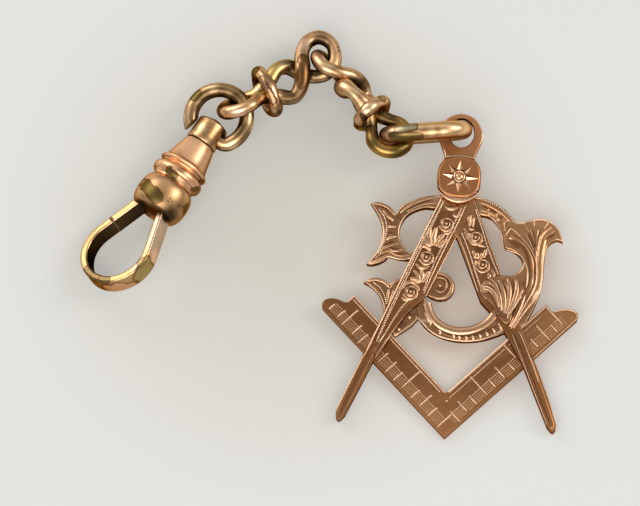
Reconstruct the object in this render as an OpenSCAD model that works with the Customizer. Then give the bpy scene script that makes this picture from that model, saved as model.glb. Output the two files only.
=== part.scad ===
// Watch fob lying on a flat surface, in millimetres, Z up, floor at Z = 0.
// A square and compasses pendant with scrollwork hangs from an oval ring, two knotted links
// and a swivel clasp with a sprung gate.

/* [Pendant] */
// Length of each arm of the square along its inner edge
square_arm = 14.9; // [12:0.1:18]
// Width of the square's arms
square_width = 3.65; // [3:0.05:4.5]
// Height of the back of the pendant's plates above the pendant's frame
plate_back = 0.8; // [0.4:0.05:1]
// Height of the square's face above the same level
square_top = 1.6; // [1.4:0.05:2]
// Height of the scrollwork's face
scroll_top = 1.9; // [1.4:0.05:2.2]
// Height of the sunk field in the legs of the compasses
leg_field = 2.05; // [1.6:0.05:2.4]
// Height of the borders and lower legs of the compasses
leg_top = 2.35; // [1.8:0.05:2.8]
// Radius of the round boss at the joint of the compasses
boss_radius = 2.55; // [2:0.05:3]
// Height of the boss at its middle
boss_top = 2.9; // [2.2:0.05:3.4]
// Radius of the hole in the eye
eye_hole = 1.7; // [1.4:0.05:1.75]
// Outer radius of the eye
eye_radius = 2.45; // [2.2:0.05:2.8]
// Angle at which the pendant leans on its ring, in degrees
pendant_tilt = 4.5; // [0:0.1:8]
// Turn of the pendant as seen from above, in degrees
pendant_turn = 3.4; // [0:0.1:10]

/* [Pendant ring] */
// Radius of the wire of the pendant's ring
oval_wire = 1; // [0.7:0.05:1.1]
// Half length of the ring, to the middle of the wire
oval_half_length = 4.25; // [3.6:0.05:5]
// Half width of the ring, to the middle of the wire
oval_half_width = 2.4; // [2:0.05:3]
// Angle at which the ring leans over, in degrees
oval_lean = 17; // [0:1:30]

/* [Knotted links] */
// Wire radius of the two bowls of a link
bowl_wire = 0.78; // [0.6:0.01:0.8]
// Wire radius of a link's end loop
loop_wire = 0.71; // [0.5:0.01:0.8]
// Radius of a link's end loop, to the middle of the wire
loop_radius = 2.06; // [1.8:0.02:2.3]
// Turn of the end loop's plane against the bowls, in degrees
loop_twist = -54.6; // [-90:0.2:0]
// Radius of the wire wrapped round a link's waist
wrap_wire = 0.76; // [0.6:0.01:0.8]
// Half width of the wrapped turn, to the middle of its wire
wrap_wide = 2.35; // [2.2:0.05:2.5]
// Half height of the wrapped turn, to the middle of its wire
wrap_high = 1.8; // [1.7:0.05:1.9]

/* [Clasp] */
// Direction of the clasp's axis as seen from above, in degrees
clasp_turn = 57.3; // [40:0.1:70]
// Height of the clasp's axis above the surface
clasp_height = 3.12; // [3:0.01:3.5]
// Roll of the hook about the clasp's axis, in degrees
hook_roll = 25.8; // [0:0.1:45]
// Outer radius of the round end of the hook
hook_radius = 4.3; // [3.8:0.05:4.6]
// Thickness of the hook's band
band_thickness = 0.85; // [0.6:0.05:1]
// Width of the hook's band
band_width = 2.2; // [1.6:0.05:2.6]
// Radius of the barrel that holds the clasp's ring
barrel_radius = 1.8; // [1.5:0.05:2.2]
// Radius of the clasp ring, to the middle of the wire
ring_radius = 3.16; // [2.8:0.01:3.5]
// Wire radius of the clasp ring
ring_wire = 0.83; // [0.6:0.01:0.9]
// Angle by which the clasp ring rises towards the chain, in degrees
ring_rise = 14.3; // [0:0.1:20]

/* [Hidden] */
$fn = 48;
shift_x = 0.05;
shift_y = 0.115;
pendant_at = [14.44, 5.8, 1.54];
square_corner = [-0.1, -24.45];
bulb_at = [-18.49, 3.33];
oval_ring_at = [10.74, 11.14, 3.3];
oval_ring_turn = 4.5;
link_a_at = [-9.82, 14.13, 4.34];
link_a_turns = [0.5, 6.73, 29.6];
link_b_at = [6.72, 10.65, 3.68];
link_b_turns = [65.6, 3.33, 128.8];
gap = 0.1;

// Smooth curve through the points, its last point left out
function between(a, b, c, d, t) =
  0.5 * (2 * b + (c - a) * t + (2 * a - 5 * b + 4 * c - d) * t * t + (3 * b - a - 3 * c + d) * t * t * t);
function flow(p, n = 3) = [
  for (i = [0:len(p) - 2])
    for (k = [0:n - 1])
      between(p[max(i - 1, 0)], p[i], p[i + 1], p[min(i + 2, len(p) - 1)], k / n)
];
function unit(v) = v / norm(v);
function xyz(v) = [v[0], v[1], v[2]];

// Everything lies in one frame with its origin under the middle of the whole fob
module placed() {
  translate([shift_x, shift_y, 0]) children();
}

// Pendant frame: boss at the origin, eye towards +Y, the plates' backs at Z = plate_back
module in_pendant() {
  placed()
    translate(pendant_at)
      rotate([pendant_tilt, 0, 0])
        rotate([0, 0, -pendant_turn])
          children();
}

// Clasp frame: bulb at the origin, +X towards the barrel
module in_clasp() {
  placed()
    translate([bulb_at[0], bulb_at[1], clasp_height])
      rotate([0, 0, clasp_turn])
        children();
}

// One arm of the square with its stepped and rounded end, running along +X
module square_arm_shape() {
  w = square_width;
  a = square_arm;
  polygon(concat(
    [[0, 0], [a, 0], [a, -1.1]],
    flow([[a + 0.3, -1.4], [a + 1, -1.7], [a + 1.6, -2.2], [a + 1.9, -2.8], [a + 1.8, -3.3],
      [a + 1.3, -w]]),
    [[a + 1.3, -w], [-w, -w], [-w, 0]]
  ));
}

// The square: two arms at a right angle, each with a raised moulding along its inner edge
module square_plate() {
  translate([square_corner[0], square_corner[1], plate_back])
    rotate([0, 0, 0.6])
      for (m = [0, 1])
        mirror([m, 0, 0])
          rotate([0, 0, 45]) {
            linear_extrude(height = square_top - plate_back) square_arm_shape();
            translate([0, -0.45, 0]) cube([square_arm, 0.3, square_top + 0.15 - plate_back]);
          }
}

// Left leg of the compasses is the mirror of this right leg
module leg_shape() {
  polygon([
    [0, -1.5], [1.5, -1.5], [2, -2.7], [5.35, -10.95], [9.6, -21], [11.05, -24.6], [12.1, -27.4],
      [12.05, -28],
    [11.8, -28.35], [11.5, -28.2], [11.1, -27.75], [9.7, -24.6], [8.15, -21], [6.6, -18.4], [5.75, -17.1],
    [4.7, -15.6], [3.1, -14], [1.85, -11], [0.1, -6.85], [0, -6.85]
  ]);
}

// Raised beaded borders of a leg, without the beads
module leg_border_shape() {
  polygon([[1.75, -2.6], [2.15, -2.6], [5.45, -10.95], [8.7, -19], [8.2, -19.2], [4.95, -11.15],
    [1.65, -3.1]]);
  polygon([[0.15, -6.85], [0.6, -6.85], [2.3, -10.85], [3.45, -13.6], [3.1, -14], [1.85, -11]]);
}

// Scroll with a ball in its eye
module volute(r) {
  rotate_extrude() translate([r, 0]) circle(r = 0.2, $fn = 12);
  rotate_extrude() translate([r * 0.52, 0]) circle(r = 0.15, $fn = 12);
  sphere(r = 0.27, $fn = 16);
}

module compasses() {
  for (m = [0, 1])
    mirror([m, 0, 0]) {
      translate([0, 0, plate_back]) {
        linear_extrude(height = leg_field - plate_back) leg_shape();
        linear_extrude(height = leg_top - plate_back) leg_border_shape();
      }
      // ridge along the lower leg
      translate([7.9, -19.1, leg_field - 0.1])
        rotate([0, 0, -67.4])
          rotate([90, 0, 90])
            linear_extrude(height = 9)
              polygon([[-0.55, 0], [0.55, 0], [0, 0.5]]);
    }
  for (p = [[-1.25, -5.5, 1], [-3.1, -9.5, 1], [-4.65, -13.3, 0.95], [2.2, -6.75, 1], [3.1, -9.9, 1]])
    translate([p[0], p[1], leg_field + 0.1]) volute(p[2]);
}

// Pierced scroll at the left: an arc from the boss and a fishtail leaf
module left_scroll_shape() {
  polygon(concat(
    flow([[-1.6, -2], [-2.6, -2.1], [-3.8, -2.3], [-5.3, -2.9], [-6.3, -3.6], [-6.8, -4.5]]),
    flow([[-6.8, -4.5], [-7.2, -3.9], [-8, -3.4], [-8.9, -3.2], [-9.6, -3.4]]),
    flow([[-9.6, -3.4], [-8.6, -4.9], [-8.2, -6.3], [-8.2, -7.7], [-8.7, -9], [-9.7, -10.4]]),
    flow([[-9.7, -10.4], [-9.1, -10.45], [-8.3, -10.2], [-7.6, -9.75], [-7.25, -9.2]]),
    flow([[-7.25, -9.2], [-6.4, -9.55], [-5.1, -9.65], [-4.2, -9.5]]),
    flow([[-4.2, -8.9], [-5, -8.7], [-5.6, -8.2], [-6.1, -7.4], [-6.25, -6.3], [-6, -5.4], [-5.5, -4.6],
      [-4.7, -4], [-3.6, -3.6], [-2.7, -3.6], [-1.6, -3.7]]),
    [[-1.6, -3.7]]
  ));
}

// Small leaf lower on the left leg, the curl inside it and the web below
module left_leaf_shape() {
  polygon(concat(
    flow([[-4.8, -11.6], [-5.4, -11.6], [-6.1, -11.85], [-7, -12.5]]),
    flow([[-7, -12.5], [-7.65, -12.1], [-8.5, -11.9], [-9.2, -12.05], [-9.9, -12.5]]),
    flow([[-9.9, -12.5], [-9, -12.95], [-8.2, -13.7], [-7.7, -14.7], [-7.55, -15.9], [-7.7, -16.8]]),
    [[-6.5, -16.5]]
  ));
  polygon(concat(
    flow([[-2.2, -10.7], [-1.8, -10.8], [-1, -11.1], [-0.2, -11.65], [0.2, -12.4], [0, -13.2],
      [-0.6, -13.85],
      [-1.5, -14.05], [-2.4, -13.8], [-3, -13.4]]),
    [[-3, -13.4]]
  ));
  polygon([[-6.4, -18.1], [-6.1, -18.45], [-5.3, -17.9], [-4.3, -17.1], [-3.6, -16.25], [-2.9, -14.2],
    [-3.4, -13.4], [-5.4, -14.5]]);
}

// Right mass: arc from the boss, horn and shell, with the gap pierced through
module right_scroll_shape() {
  difference() {
    polygon(concat(
      flow([[1.6, -1.9], [2.1, -1.95], [3.25, -2.2], [4.6, -2.9], [5.8, -3.8], [6.5, -4.7]]),
      flow([[6.5, -4.7], [7, -4.8], [7.5, -4.65], [8.4, -4.4], [9.4, -4.25], [10.3, -4.45], [11.1, -5.1],
        [11.65, -6], [11.85, -6.6]]),
      flow([[11.85, -6.6], [11.15, -6.45], [10.4, -6.9], [10.1, -7.6], [9.95, -8.9], [9.8, -11.2],
        [9.45, -13.2],
        [8.6, -15.3], [7.8, -16.9], [6.95, -17.85]]),
      [[6.95, -17.85], [6.1, -17]],
      flow([[5.3, -16.35], [4.8, -15.45], [4.55, -14.85], [3.95, -14.3], [3.3, -13.95], [2.95, -13.4],
        [3.1, -12.9]]),
      [[3.1, -12.9], [3.1, -10], [1.2, -4]]
    ));
    polygon(concat(
      flow([[1.9, -4], [2.7, -4.1], [3.25, -4.15], [3.95, -4.45], [4.65, -5.2], [5.15, -6], [5.3, -6.9],
        [5.5, -7.7]]),
      flow([[5.5, -7.7], [6.25, -7.9], [6.95, -8.3], [7.45, -8.95], [7.5, -9.65], [7.05, -10.35],
        [6.3, -10.85],
        [5.65, -10.95], [5.2, -10.85]]),
      [[4.5, -10.85]]
    ));
  }
}

// Shell that lies over the foot of the right leg
module shell_shape() {
  polygon(flow([[2.9, -12.64], [2.96, -12.37], [3.38, -11.76], [3.88, -11.46], [4.73, -11.09],
    [5.49, -10.93], [6.51, -10.95], [7.05, -11.2], [7.4, -11.79], [7.96, -12.5], [7.69, -13.16],
    [7.11, -13.83], [6.7, -15.04], [6.5, -16.2], [5.9, -16.4], [5.38, -15.96], [4.83, -15.25],
    [4.58, -14.62], [4.03, -14.02], [3.39, -13.57], [3.03, -13.11], [2.9, -12.64]]));
}

// Arc that joins the legs at the bottom
module bottom_arc_shape() {
  polygon(concat(
    flow([[-4, -15], [-3.6, -16.2], [-3.1, -16.95], [-2.2, -17.7], [-1, -18.25], [0.3, -18.55],
      [1.55, -18.6],
      [3.2, -18.4], [4.5, -18], [5.6, -17.5], [6.8, -16.9]]),
    flow([[6.8, -16], [4.8, -15.1], [4.6, -15.8], [3.8, -16.65], [2.5, -17.15], [1.15, -17.4],
      [0.05, -17.3],
      [-1.1, -16.85], [-2.05, -16.1], [-2.65, -15.1], [-2.95, -14.2], [-3.1, -13.5]]),
    [[-3.1, -13.5]]
  ));
}

// Raised rib that follows a curved line, its section rounded by a bead at each point
module rib(p, r, z) {
  for (i = [0:len(p) - 2])
    translate([p[i][0], p[i][1], z])
      rotate([0, 90, atan2(p[i + 1][1] - p[i][1], p[i + 1][0] - p[i][0])])
        cylinder(r1 = r[0] + (r[1] - r[0]) * i / (len(p) - 1),
          r2 = r[0] + (r[1] - r[0]) * (i + 1) / (len(p) - 1),
          h = norm(p[i + 1] - p[i]), $fn = 8);
  for (i = [0:len(p) - 1])
    translate([p[i][0], p[i][1], z])
      sphere(r = r[0] + (r[1] - r[0]) * i / (len(p) - 1), $fn = 8);
}

module scrollwork() {
  translate([0, 0, plate_back]) linear_extrude(height = scroll_top - plate_back) {
    left_scroll_shape();
    left_leaf_shape();
    right_scroll_shape();
    bottom_arc_shape();
  }
  // flutes of the horn, spreading into its mouth
  rib([[9.3, -4.9], [9, -7.2], [9.2, -9.5], [9, -12], [8.2, -14.6], [7.3, -16.6]], [0.55, 0.3], scroll_top);
  rib([[7.6, -5.3], [8, -7.5], [8.45, -9.5], [8.4, -12], [7.8, -14.4], [7, -16.4]], [0.5, 0.25],
    scroll_top);
  rib([[10.8, -5.4], [9.7, -7.4], [9.55, -9.5], [9.4, -12]], [0.4, 0.25], scroll_top);
  // the shell and its flutes, gathered at the foot
  shell_top = leg_top - 0.05;
  translate([0, 0, scroll_top - 0.2]) linear_extrude(height = shell_top - scroll_top + 0.2) shell_shape();
  rib([[5.3, -11.6], [5.6, -13.5], [5.9, -15.6]], [0.4, 0.25], shell_top);
  rib([[6.4, -11.6], [6.4, -13.5], [6.2, -15.6]], [0.35, 0.25], shell_top);
  rib([[4.2, -12.3], [4.8, -13.8], [5.5, -15.6]], [0.35, 0.25], shell_top);
  translate([-1.45, -12.55, scroll_top]) volute(0.95);
}

// Boss with its star of eight rays and the bead in the middle
module boss() {
  r = boss_radius;
  rotate_extrude()
    polygon([[0, 0.6], [r, 0.6], [r, boss_top - 0.65], [r - 0.12, boss_top - 0.45],
      [r - 0.4, boss_top - 0.3],
      [1.2, boss_top - 0.12], [0, boss_top - 0.05]]);
  for (k = [0:7])
    rotate([0, 0, 45 * k])
      translate([0, 0, boss_top - 0.6])
        linear_extrude(height = 0.55)
          polygon([[0.4, -0.3], [0.9, -0.3], [2, 0], [0.9, 0.3], [0.4, 0.3]]);
  translate([0, 0, boss_top - 0.05]) rotate_extrude() translate([0.62, 0]) circle(r = 0.12, $fn = 12);
  translate([0, 0, boss_top - 0.1]) sphere(r = 0.45, $fn = 24);
}

// Eye above the boss, with the hole for the ring
module eye() {
  difference() {
    union() {
      translate([-0.05, 5.2, 0.6])
        rotate_extrude()
          polygon([[0, 0.05], [1.2, 0], [eye_radius - 0.25, 0], [eye_radius, 0.25], [eye_radius, 0.6],
            [eye_radius - 0.25, 0.85], [0, 0.9]]);
      translate([0, 0, 0.62])
        linear_extrude(height = 0.83)
          polygon([[-1.9, 1.5], [1.8, 1.5], [1.65, 2.8], [2.1, 4], [-2.45, 4], [-1.75, 2.8]]);
    }
    translate([0, 5.5, -1]) cylinder(r = eye_hole, h = 5);
    translate([0, 5.5, 1.25]) cylinder(r1 = eye_hole, r2 = eye_hole + 0.4, h = 0.4);
    translate([0, 5.5, 0.4]) cylinder(r1 = eye_hole + 0.4, r2 = eye_hole, h = 0.4);
  }
}

module pendant() {
  color([0.72, 0.45, 0.3])
    in_pendant() {
      square_plate();
      scrollwork();
      compasses();
      boss();
      eye();
    }
}

// Oval jump ring that stands on its long side
module pendant_ring() {
  straight = oval_half_length - oval_half_width;
  color([0.84, 0.64, 0.42])
    placed()
      translate(oval_ring_at)
        rotate([0, 0, oval_ring_turn])
          rotate([90 + oval_lean, 0, 0]) {
            for (s = [0, 180])
              rotate([0, 0, s])
                translate([straight, 0, 0])
                  rotate([0, 0, -90])
                    rotate_extrude(angle = 180) translate([oval_half_width, 0]) circle(r = oval_wire);
            for (s = [-1, 1])
              translate([-straight, s * oval_half_width, 0])
                rotate([0, 90, 0])
                  cylinder(r = oval_wire, h = 2 * straight);
          }
}

// Middle line of a knotted link with the wire radius as fourth value:
// end loop, twisted waist, first bowl, crossing and second bowl, closed on itself
function end_loop(a) = [loop_radius * cos(a), loop_radius * sin(a) * cos(loop_twist),
  loop_radius * sin(a) * sin(loop_twist), loop_wire];
function waist(s) = [
  [2.35, s * 0.9 * cos(loop_twist), s * 0.9 * sin(loop_twist), 0.7],
  [3.3, s * 0.8 * cos(loop_twist / 2), s * 0.8 * sin(loop_twist / 2), 0.74]
];
function bowls(s) = [
  [4.3, -s, 0, bowl_wire], [5.8, -1.85 * s, 0, bowl_wire], [7.1, -1.35 * s, 0.45 * s, bowl_wire],
  [8.15, 0, 0.8 * s, bowl_wire], [9.2, 1.5 * s, 0.35 * s, bowl_wire], [10.6, 2.15 * s, 0, bowl_wire],
  [12.05, 1.6 * s, 0, bowl_wire]
];
function turned(p) = [for (i = [len(p) - 1:-1:0]) p[i]];
function rise(hump, x) = hump * sin(180 * min(max((x - 2.5) / 8, 0), 1));
function link_line(bend, hump) = [
  for (p = concat([for (a = [40:40:320]) end_loop(a)], waist(-1), bowls(1), [[12.75, 0, 0, bowl_wire]],
      turned(bowls(-1)), turned(waist(1))))
    p + [0, bend * max(0, p[0] - 5.8) / 4.75, rise(hump, p[0]), 0]
];

// One turn of wire round the waist
wrap_at = 3.35;
function wrap_line(lean, hump) = [
  for (a = [0:30:330])
    [wrap_at + lean * cos(a), wrap_wide * cos(a), wrap_high * sin(a) + rise(hump, wrap_at), wrap_wire]
];

// Closed wire of six sides along a smooth line
module closed_wire(p, n) {
  m = len(p);
  line = [for (i = [0:m - 1]) for (k = [0:n - 1])
    between(p[(i + m - 1) % m], p[i], p[(i + 1) % m], p[(i + 2) % m], k / n)];
  q = len(line);
  dir = [for (i = [0:q - 1]) unit(xyz(line[(i + 1) % q]) - xyz(line[(i + q - 1) % q]))];
  side = [for (i = 0, s = unit(cross(dir[0], [0.1, 0.2, 1])); i <= q;
      s = unit(s - (s * dir[(i + 1) % q]) * dir[(i + 1) % q]), i = i + 1) s];
  miss = atan2(cross(side[0], side[q]) * dir[0], side[0] * side[q]);
  points = [for (i = [0:q - 1]) for (k = [0:5])
    let (a = 60 * k - miss * i / q)
      xyz(line[i]) + line[i][3] * 1.05 * (cos(a) * side[i] + sin(a) * cross(dir[i], side[i]))];
  faces = [for (i = [0:q - 1]) for (k = [0:5]) for (t = [0, 1])
    let (a = 6 * i, b = 6 * ((i + 1) % q), c = (k + 1) % 6)
      t == 0 ? [a + k, a + c, b + c] : [a + k, b + c, b + k]];
  polyhedron(points, [for (f = faces) [f[2], f[1], f[0]]]);
}

// The line and the wrapped turn become one closed mesh
module knot_link(bend, hump, lean) {
  resize([0, 0, 0])
    union() {
      closed_wire(link_line(bend, hump), 4);
      closed_wire(wrap_line(lean, hump), 2);
    }
}

module knot_link_a() {
  color([0.82, 0.62, 0.4])
    placed()
      translate(link_a_at)
        rotate(link_a_turns)
          knot_link(1.15, 0, 0.18);
}

module knot_link_b() {
  color([0.82, 0.62, 0.4])
    placed()
      translate(link_b_at)
        rotate(link_b_turns)
          knot_link(-0.25, 0.55, -0.2);
}

// Ring of the swivel: its right end bends into the barrel, a touch thicker at the bend, and its
// left end is cut off slanting beside the barrel
ring_drop = 2.2;
hole_at = 9.2;
bend_radius = 1;
bend_y = sqrt(pow(ring_radius - bend_radius, 2) - pow(ring_drop - bend_radius, 2));
bend_angle = atan2(bend_y, ring_drop - bend_radius);
peg_end = 0.28;
lap = 3;
module ring_solid(w) {
  in_clasp()
    translate([hole_at, 0, 0])
      rotate([0, 0, -3])
        rotate([0, -ring_rise, 0]) {
          difference() {
            translate([ring_drop, 0, 0])
              rotate([0, 0, 180 + bend_angle - lap])
                rotate_extrude(angle = 340 - bend_angle + lap) translate([ring_radius, 0]) circle(r = w);
            translate([0.1, 2.15, 0]) rotate([0, 0, -12.4]) translate([-3, -3, -2]) cube([6, 3, 4]);
          }
          mirror([0, 1, 0]) {
            translate([bend_radius, bend_y, 0])
              rotate([0, 0, 180 - bend_angle])
                rotate_extrude(angle = bend_angle) translate([bend_radius, 0]) circle(r = w + 0.03);
            translate([0, bend_y + 0.15, 0])
              rotate([90, 0, 0])
                cylinder(r = w - 0.05, h = bend_y + 0.15 - peg_end + w - ring_wire);
          }
        }
}

module clasp_ring() {
  color([0.8, 0.6, 0.36]) ring_solid(ring_wire);
}

// Barrel with its cross hole and the headed pin on which the clasp turns
module swivel_barrel() {
  color([0.78, 0.55, 0.3])
    difference() {
      in_clasp()
        rotate([0, 90, 0])
          rotate_extrude()
            polygon([[0, 6.35], [1.25, 6.35], [1.25, 6.75], [0.85, 6.75], [0.85, 7.75],
              [barrel_radius, 7.75],
              [barrel_radius, 10.35], [barrel_radius - 0.1, 10.47], [0.3, 11.03], [0, 11.05]]);
      ring_solid(ring_wire + gap);
      in_clasp() translate([hole_at, peg_end, 0]) rotate([-90, 0, 0]) cylinder(r = ring_wire + 0.05, h = 2);
    }
}

// Frame of the hook: its band lies in the XY plane and is rolled about the clasp's axis
module in_hook() {
  in_clasp() rotate([-hook_roll, 0, 0]) children();
}
hook_middle = [-7.9, 0.55];
left_root = [-1.2, 2.25];
right_root = [-1.2, -1.75];
left_away = left_root - hook_middle;
right_away = right_root - hook_middle;
left_angle = atan2(left_away[1], left_away[0]) + acos(hook_radius / norm(left_away));
right_angle = atan2(right_away[1], right_away[0]) - acos(hook_radius / norm(right_away));
left_out = [cos(left_angle), sin(left_angle)];
right_out = [cos(right_angle), sin(right_angle)];

// Outline of the hook's loop, drawn in by t
module loop_outline(t) {
  translate(hook_middle) circle(r = hook_radius - t, $fn = 96);
  polygon([left_root - t * left_out, hook_middle + (hook_radius - t) * left_out,
    hook_middle + (hook_radius - t) * right_out, right_root - t * right_out]);
}

// Frame of the gate's arm: +X along the arm away from the bulb, outer face on y = 0, inside at -Y
module on_arm() {
  in_hook()
    translate([left_root[0], left_root[1], 0])
      rotate([0, 0, left_angle + 90])
        mirror([0, 1, 0])
          children();
}
seam_at = 3.85;
pivot_x = -0.25;
pivot_y = -0.43;

module clasp_body() {
  color([0.86, 0.58, 0.42])
    difference() {
      union() {
        in_clasp()
          rotate([0, 90, 0])
            rotate_extrude()
              polygon(concat(
                [[0, 7.65], [1.78, 7.65], [1.95, 7], [2.3, 5.3], [2.6, 4.55], [2.85, 4.4], [2.85, 4.1],
                  [2.6, 3.95]],
                [for (a = [70:-20:-70]) [2.5 + 0.5 * cos(a), 3.05 + 0.6 * sin(a)]],
                [for (a = [80:-10:-80]) [2.35 + 0.75 * cos(a), 1.9 * sin(a)]],
                [[1.7, -2], [0, -2.05]]
              ));
        in_hook()
          translate([0, 0, -band_width / 2])
            linear_extrude(height = band_width)
              difference() {
                loop_outline(0);
                loop_outline(band_thickness);
                translate([left_root[0], left_root[1]])
                  rotate(left_angle + 90)
                    mirror([0, 1])
                      translate([-2, -2.2]) square([seam_at + 2, 3.2]);
              }
      }
      // bore and chamber of the swivel pin
      in_clasp() rotate([0, 90, 0]) translate([0, 0, 6.25]) cylinder(r = 0.93, h = 2);
      in_clasp() rotate([0, 90, 0]) translate([0, 0, 6.2]) cylinder(r = 1.4, h = 0.67);
      // slot and sockets of the gate
      on_arm()
        translate([0, 0, -band_width / 2 - 0.12])
          linear_extrude(height = band_width + 0.24)
            union() {
              translate([pivot_x, pivot_y]) circle(r = 0.78);
              polygon([[pivot_x, 0.12], [3, 0.12], [3, -3.2], [pivot_x - 0.3, -1.15]]);
            }
      on_arm() translate([pivot_x, pivot_y, -1.5]) cylinder(r = 0.36, h = 3);
    }
}

// Sprung gate: a flat bar with a round knuckle and two trunnions
module clasp_gate() {
  color([0.84, 0.6, 0.4])
    on_arm() {
      translate([0, 0, -band_width / 2])
        linear_extrude(height = band_width)
          union() {
            translate([pivot_x, pivot_y]) circle(r = 0.65);
            polygon([[pivot_x, 0], [seam_at - gap, 0], [seam_at - gap, -band_thickness],
              [pivot_x, -band_thickness]]);
          }
      translate([pivot_x, pivot_y, -1.42]) cylinder(r = 0.3, h = 2.84);
    }
}

pendant();
pendant_ring();
knot_link_a();
knot_link_b();
clasp_ring();
swivel_barrel();
clasp_body();
clasp_gate();
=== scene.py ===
"""Watch fob with a square and compasses pendant, lying on a pale surface.

Every piece is first made in millimetres in a frame of its own and then laid in its place.
"""

import math

import bpy
from mathutils import Matrix, Vector


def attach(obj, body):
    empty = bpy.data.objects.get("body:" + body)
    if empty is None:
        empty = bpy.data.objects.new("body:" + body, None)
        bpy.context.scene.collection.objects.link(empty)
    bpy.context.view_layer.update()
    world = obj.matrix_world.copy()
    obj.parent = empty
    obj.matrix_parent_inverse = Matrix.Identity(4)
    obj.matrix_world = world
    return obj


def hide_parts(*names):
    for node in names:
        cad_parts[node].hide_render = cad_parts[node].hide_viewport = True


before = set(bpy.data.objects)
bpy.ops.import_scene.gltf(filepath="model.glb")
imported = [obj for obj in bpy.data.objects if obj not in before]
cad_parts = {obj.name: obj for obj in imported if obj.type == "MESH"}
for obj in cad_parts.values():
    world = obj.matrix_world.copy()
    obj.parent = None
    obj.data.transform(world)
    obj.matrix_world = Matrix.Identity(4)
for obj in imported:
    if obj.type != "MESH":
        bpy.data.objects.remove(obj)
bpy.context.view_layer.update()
scene = bpy.context.scene
MM = 0.001


def turn(axis, degrees):
    return Matrix.Rotation(math.radians(degrees), 4, axis)


# Places of the pendant (boss at its origin, eye towards +Y) and of the clasp (bulb at its origin)
PENDANT = Matrix.Translation((14.49, 5.915, 1.54)) @ turn("X", 4.5) @ turn("Z", -3.4)
CLASP = Matrix.Translation((-18.44, 3.445, 3.12)) @ turn("Z", 57.3)
HOOK_TILT = turn("X", -25.8)
HOOK = CLASP @ HOOK_TILT
SWIVEL_RING = CLASP @ Matrix.Translation((9.2, 0, 0)) @ turn("Z", -3) @ turn("Y", -14.3)
OVAL_RING = Matrix.Translation((10.79, 11.255, 3.3)) @ turn("Z", 4.5) @ turn("X", 107)


def link_place(at, heading, slope, roll):
    return Matrix.Translation(at) @ turn("Z", heading) @ turn("Y", slope) @ turn("X", roll)


LINK_A = link_place((-9.77, 14.245, 4.34), 29.6, 6.73, 0.5)
LINK_B = link_place((6.77, 10.765, 3.68), 128.8, 3.33, 65.6)


# Camera and light

SENSOR, LENS = 36, 303.75
CAMERA_LEAN = math.radians(20)
CAMERA_FAR = 0.6
CAMERA_AIM = Vector((-0.00095, -0.001775, 0))


def set_camera():
    data = bpy.data.cameras.new("camera")
    data.sensor_width = SENSOR
    data.lens = LENS
    data.clip_start = 0.02
    camera = bpy.data.objects.new("camera", data)
    scene.collection.objects.link(camera)
    camera.rotation_euler = (CAMERA_LEAN, 0, 0)
    camera.location = CAMERA_AIM + CAMERA_FAR * Vector((0, -math.sin(CAMERA_LEAN), math.cos(CAMERA_LEAN)))
    scene.camera = camera


set_camera()
bpy.ops.object.select_all(action="DESELECT")


def only(obj):
    if bpy.context.object and bpy.context.object.mode != "OBJECT":
        bpy.ops.object.mode_set(mode="OBJECT")
    bpy.ops.object.select_all(action="DESELECT")
    obj.select_set(True)
    bpy.context.view_layer.objects.active = obj
    return obj


def soft_light(name, place, size, power, colour):
    """Lit sheet that faces the fob."""
    data = bpy.data.lights.new(name, "AREA")
    data.shape = "RECTANGLE"
    data.size, data.size_y = size
    data.energy = power
    data.color = colour
    lamp = bpy.data.objects.new(name, data)
    scene.collection.objects.link(lamp)
    lamp.location = place
    lamp.rotation_euler = (-Vector(place)).to_track_quat("-Z", "Y").to_euler()


soft_light("front box", (-0.10, -0.42, 0.50), (0.60, 0.45), 2.5, (1, 0.98, 0.95))
soft_light("left window", (-0.38, 0.36, 0.28), (0.40, 0.36), 1.1, (1, 0.98, 0.95))
soft_light("right window", (0.46, 0.06, 0.36), (0.26, 0.30), 1.1, (1, 0.97, 0.94))

# Room that the metal reflects: (how high, brightness), from the horizon (0) to straight overhead (1)
HORIZON, OVERHEAD = (0.10, 0.09, 0.08, 1), (0.30, 0.29, 0.28, 1)
ROOM_BANDS = ((0.2, 0.2), (0.44, 0.42), (0.6, 0.74), (0.82, 0.86), (0.93, 0.44))
ROOM_STRENGTH = 0.85


def set_world():
    world = bpy.data.worlds.new("studio")
    scene.world = world
    world.use_nodes = True
    tree = world.node_tree
    tree.nodes.clear()
    place = tree.nodes.new("ShaderNodeTexCoord")
    split = tree.nodes.new("ShaderNodeSeparateXYZ")
    ramp = tree.nodes.new("ShaderNodeValToRGB")
    back = tree.nodes.new("ShaderNodeBackground")
    out = tree.nodes.new("ShaderNodeOutputWorld")
    tree.links.new(place.outputs["Generated"], split.inputs[0])
    tree.links.new(split.outputs["Z"], ramp.inputs[0])
    tree.links.new(ramp.outputs[0], back.inputs[0])
    tree.links.new(back.outputs[0], out.inputs[0])
    steps = ramp.color_ramp.elements
    steps[0].position, steps[0].color = 0.0, HORIZON
    steps[1].position, steps[1].color = 1.0, OVERHEAD
    for height, level in ROOM_BANDS:
        steps.new(height).color = (level, level * 0.985, level * 0.96, 1)
    back.inputs["Strength"].default_value = ROOM_STRENGTH


set_world()
scene.view_settings.view_transform = "Standard"


# Materials


def new_group(name, inputs, outputs):
    tree = bpy.data.node_groups.new(name, "ShaderNodeTree")
    for label, kind, value in inputs:
        socket = tree.interface.new_socket(label, in_out="INPUT", socket_type=kind)
        socket.default_value = value
    for label, kind in outputs:
        tree.interface.new_socket(label, in_out="OUTPUT", socket_type=kind)
    return tree, tree.nodes.new("NodeGroupInput"), tree.nodes.new("NodeGroupOutput")


def feed(tree, sockets, values):
    """Gives each socket its value, linked where it comes from another node."""
    for socket, value in zip(sockets, values):
        if isinstance(value, bpy.types.NodeSocket):
            tree.links.new(value, socket)
        else:
            socket.default_value = value


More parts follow.
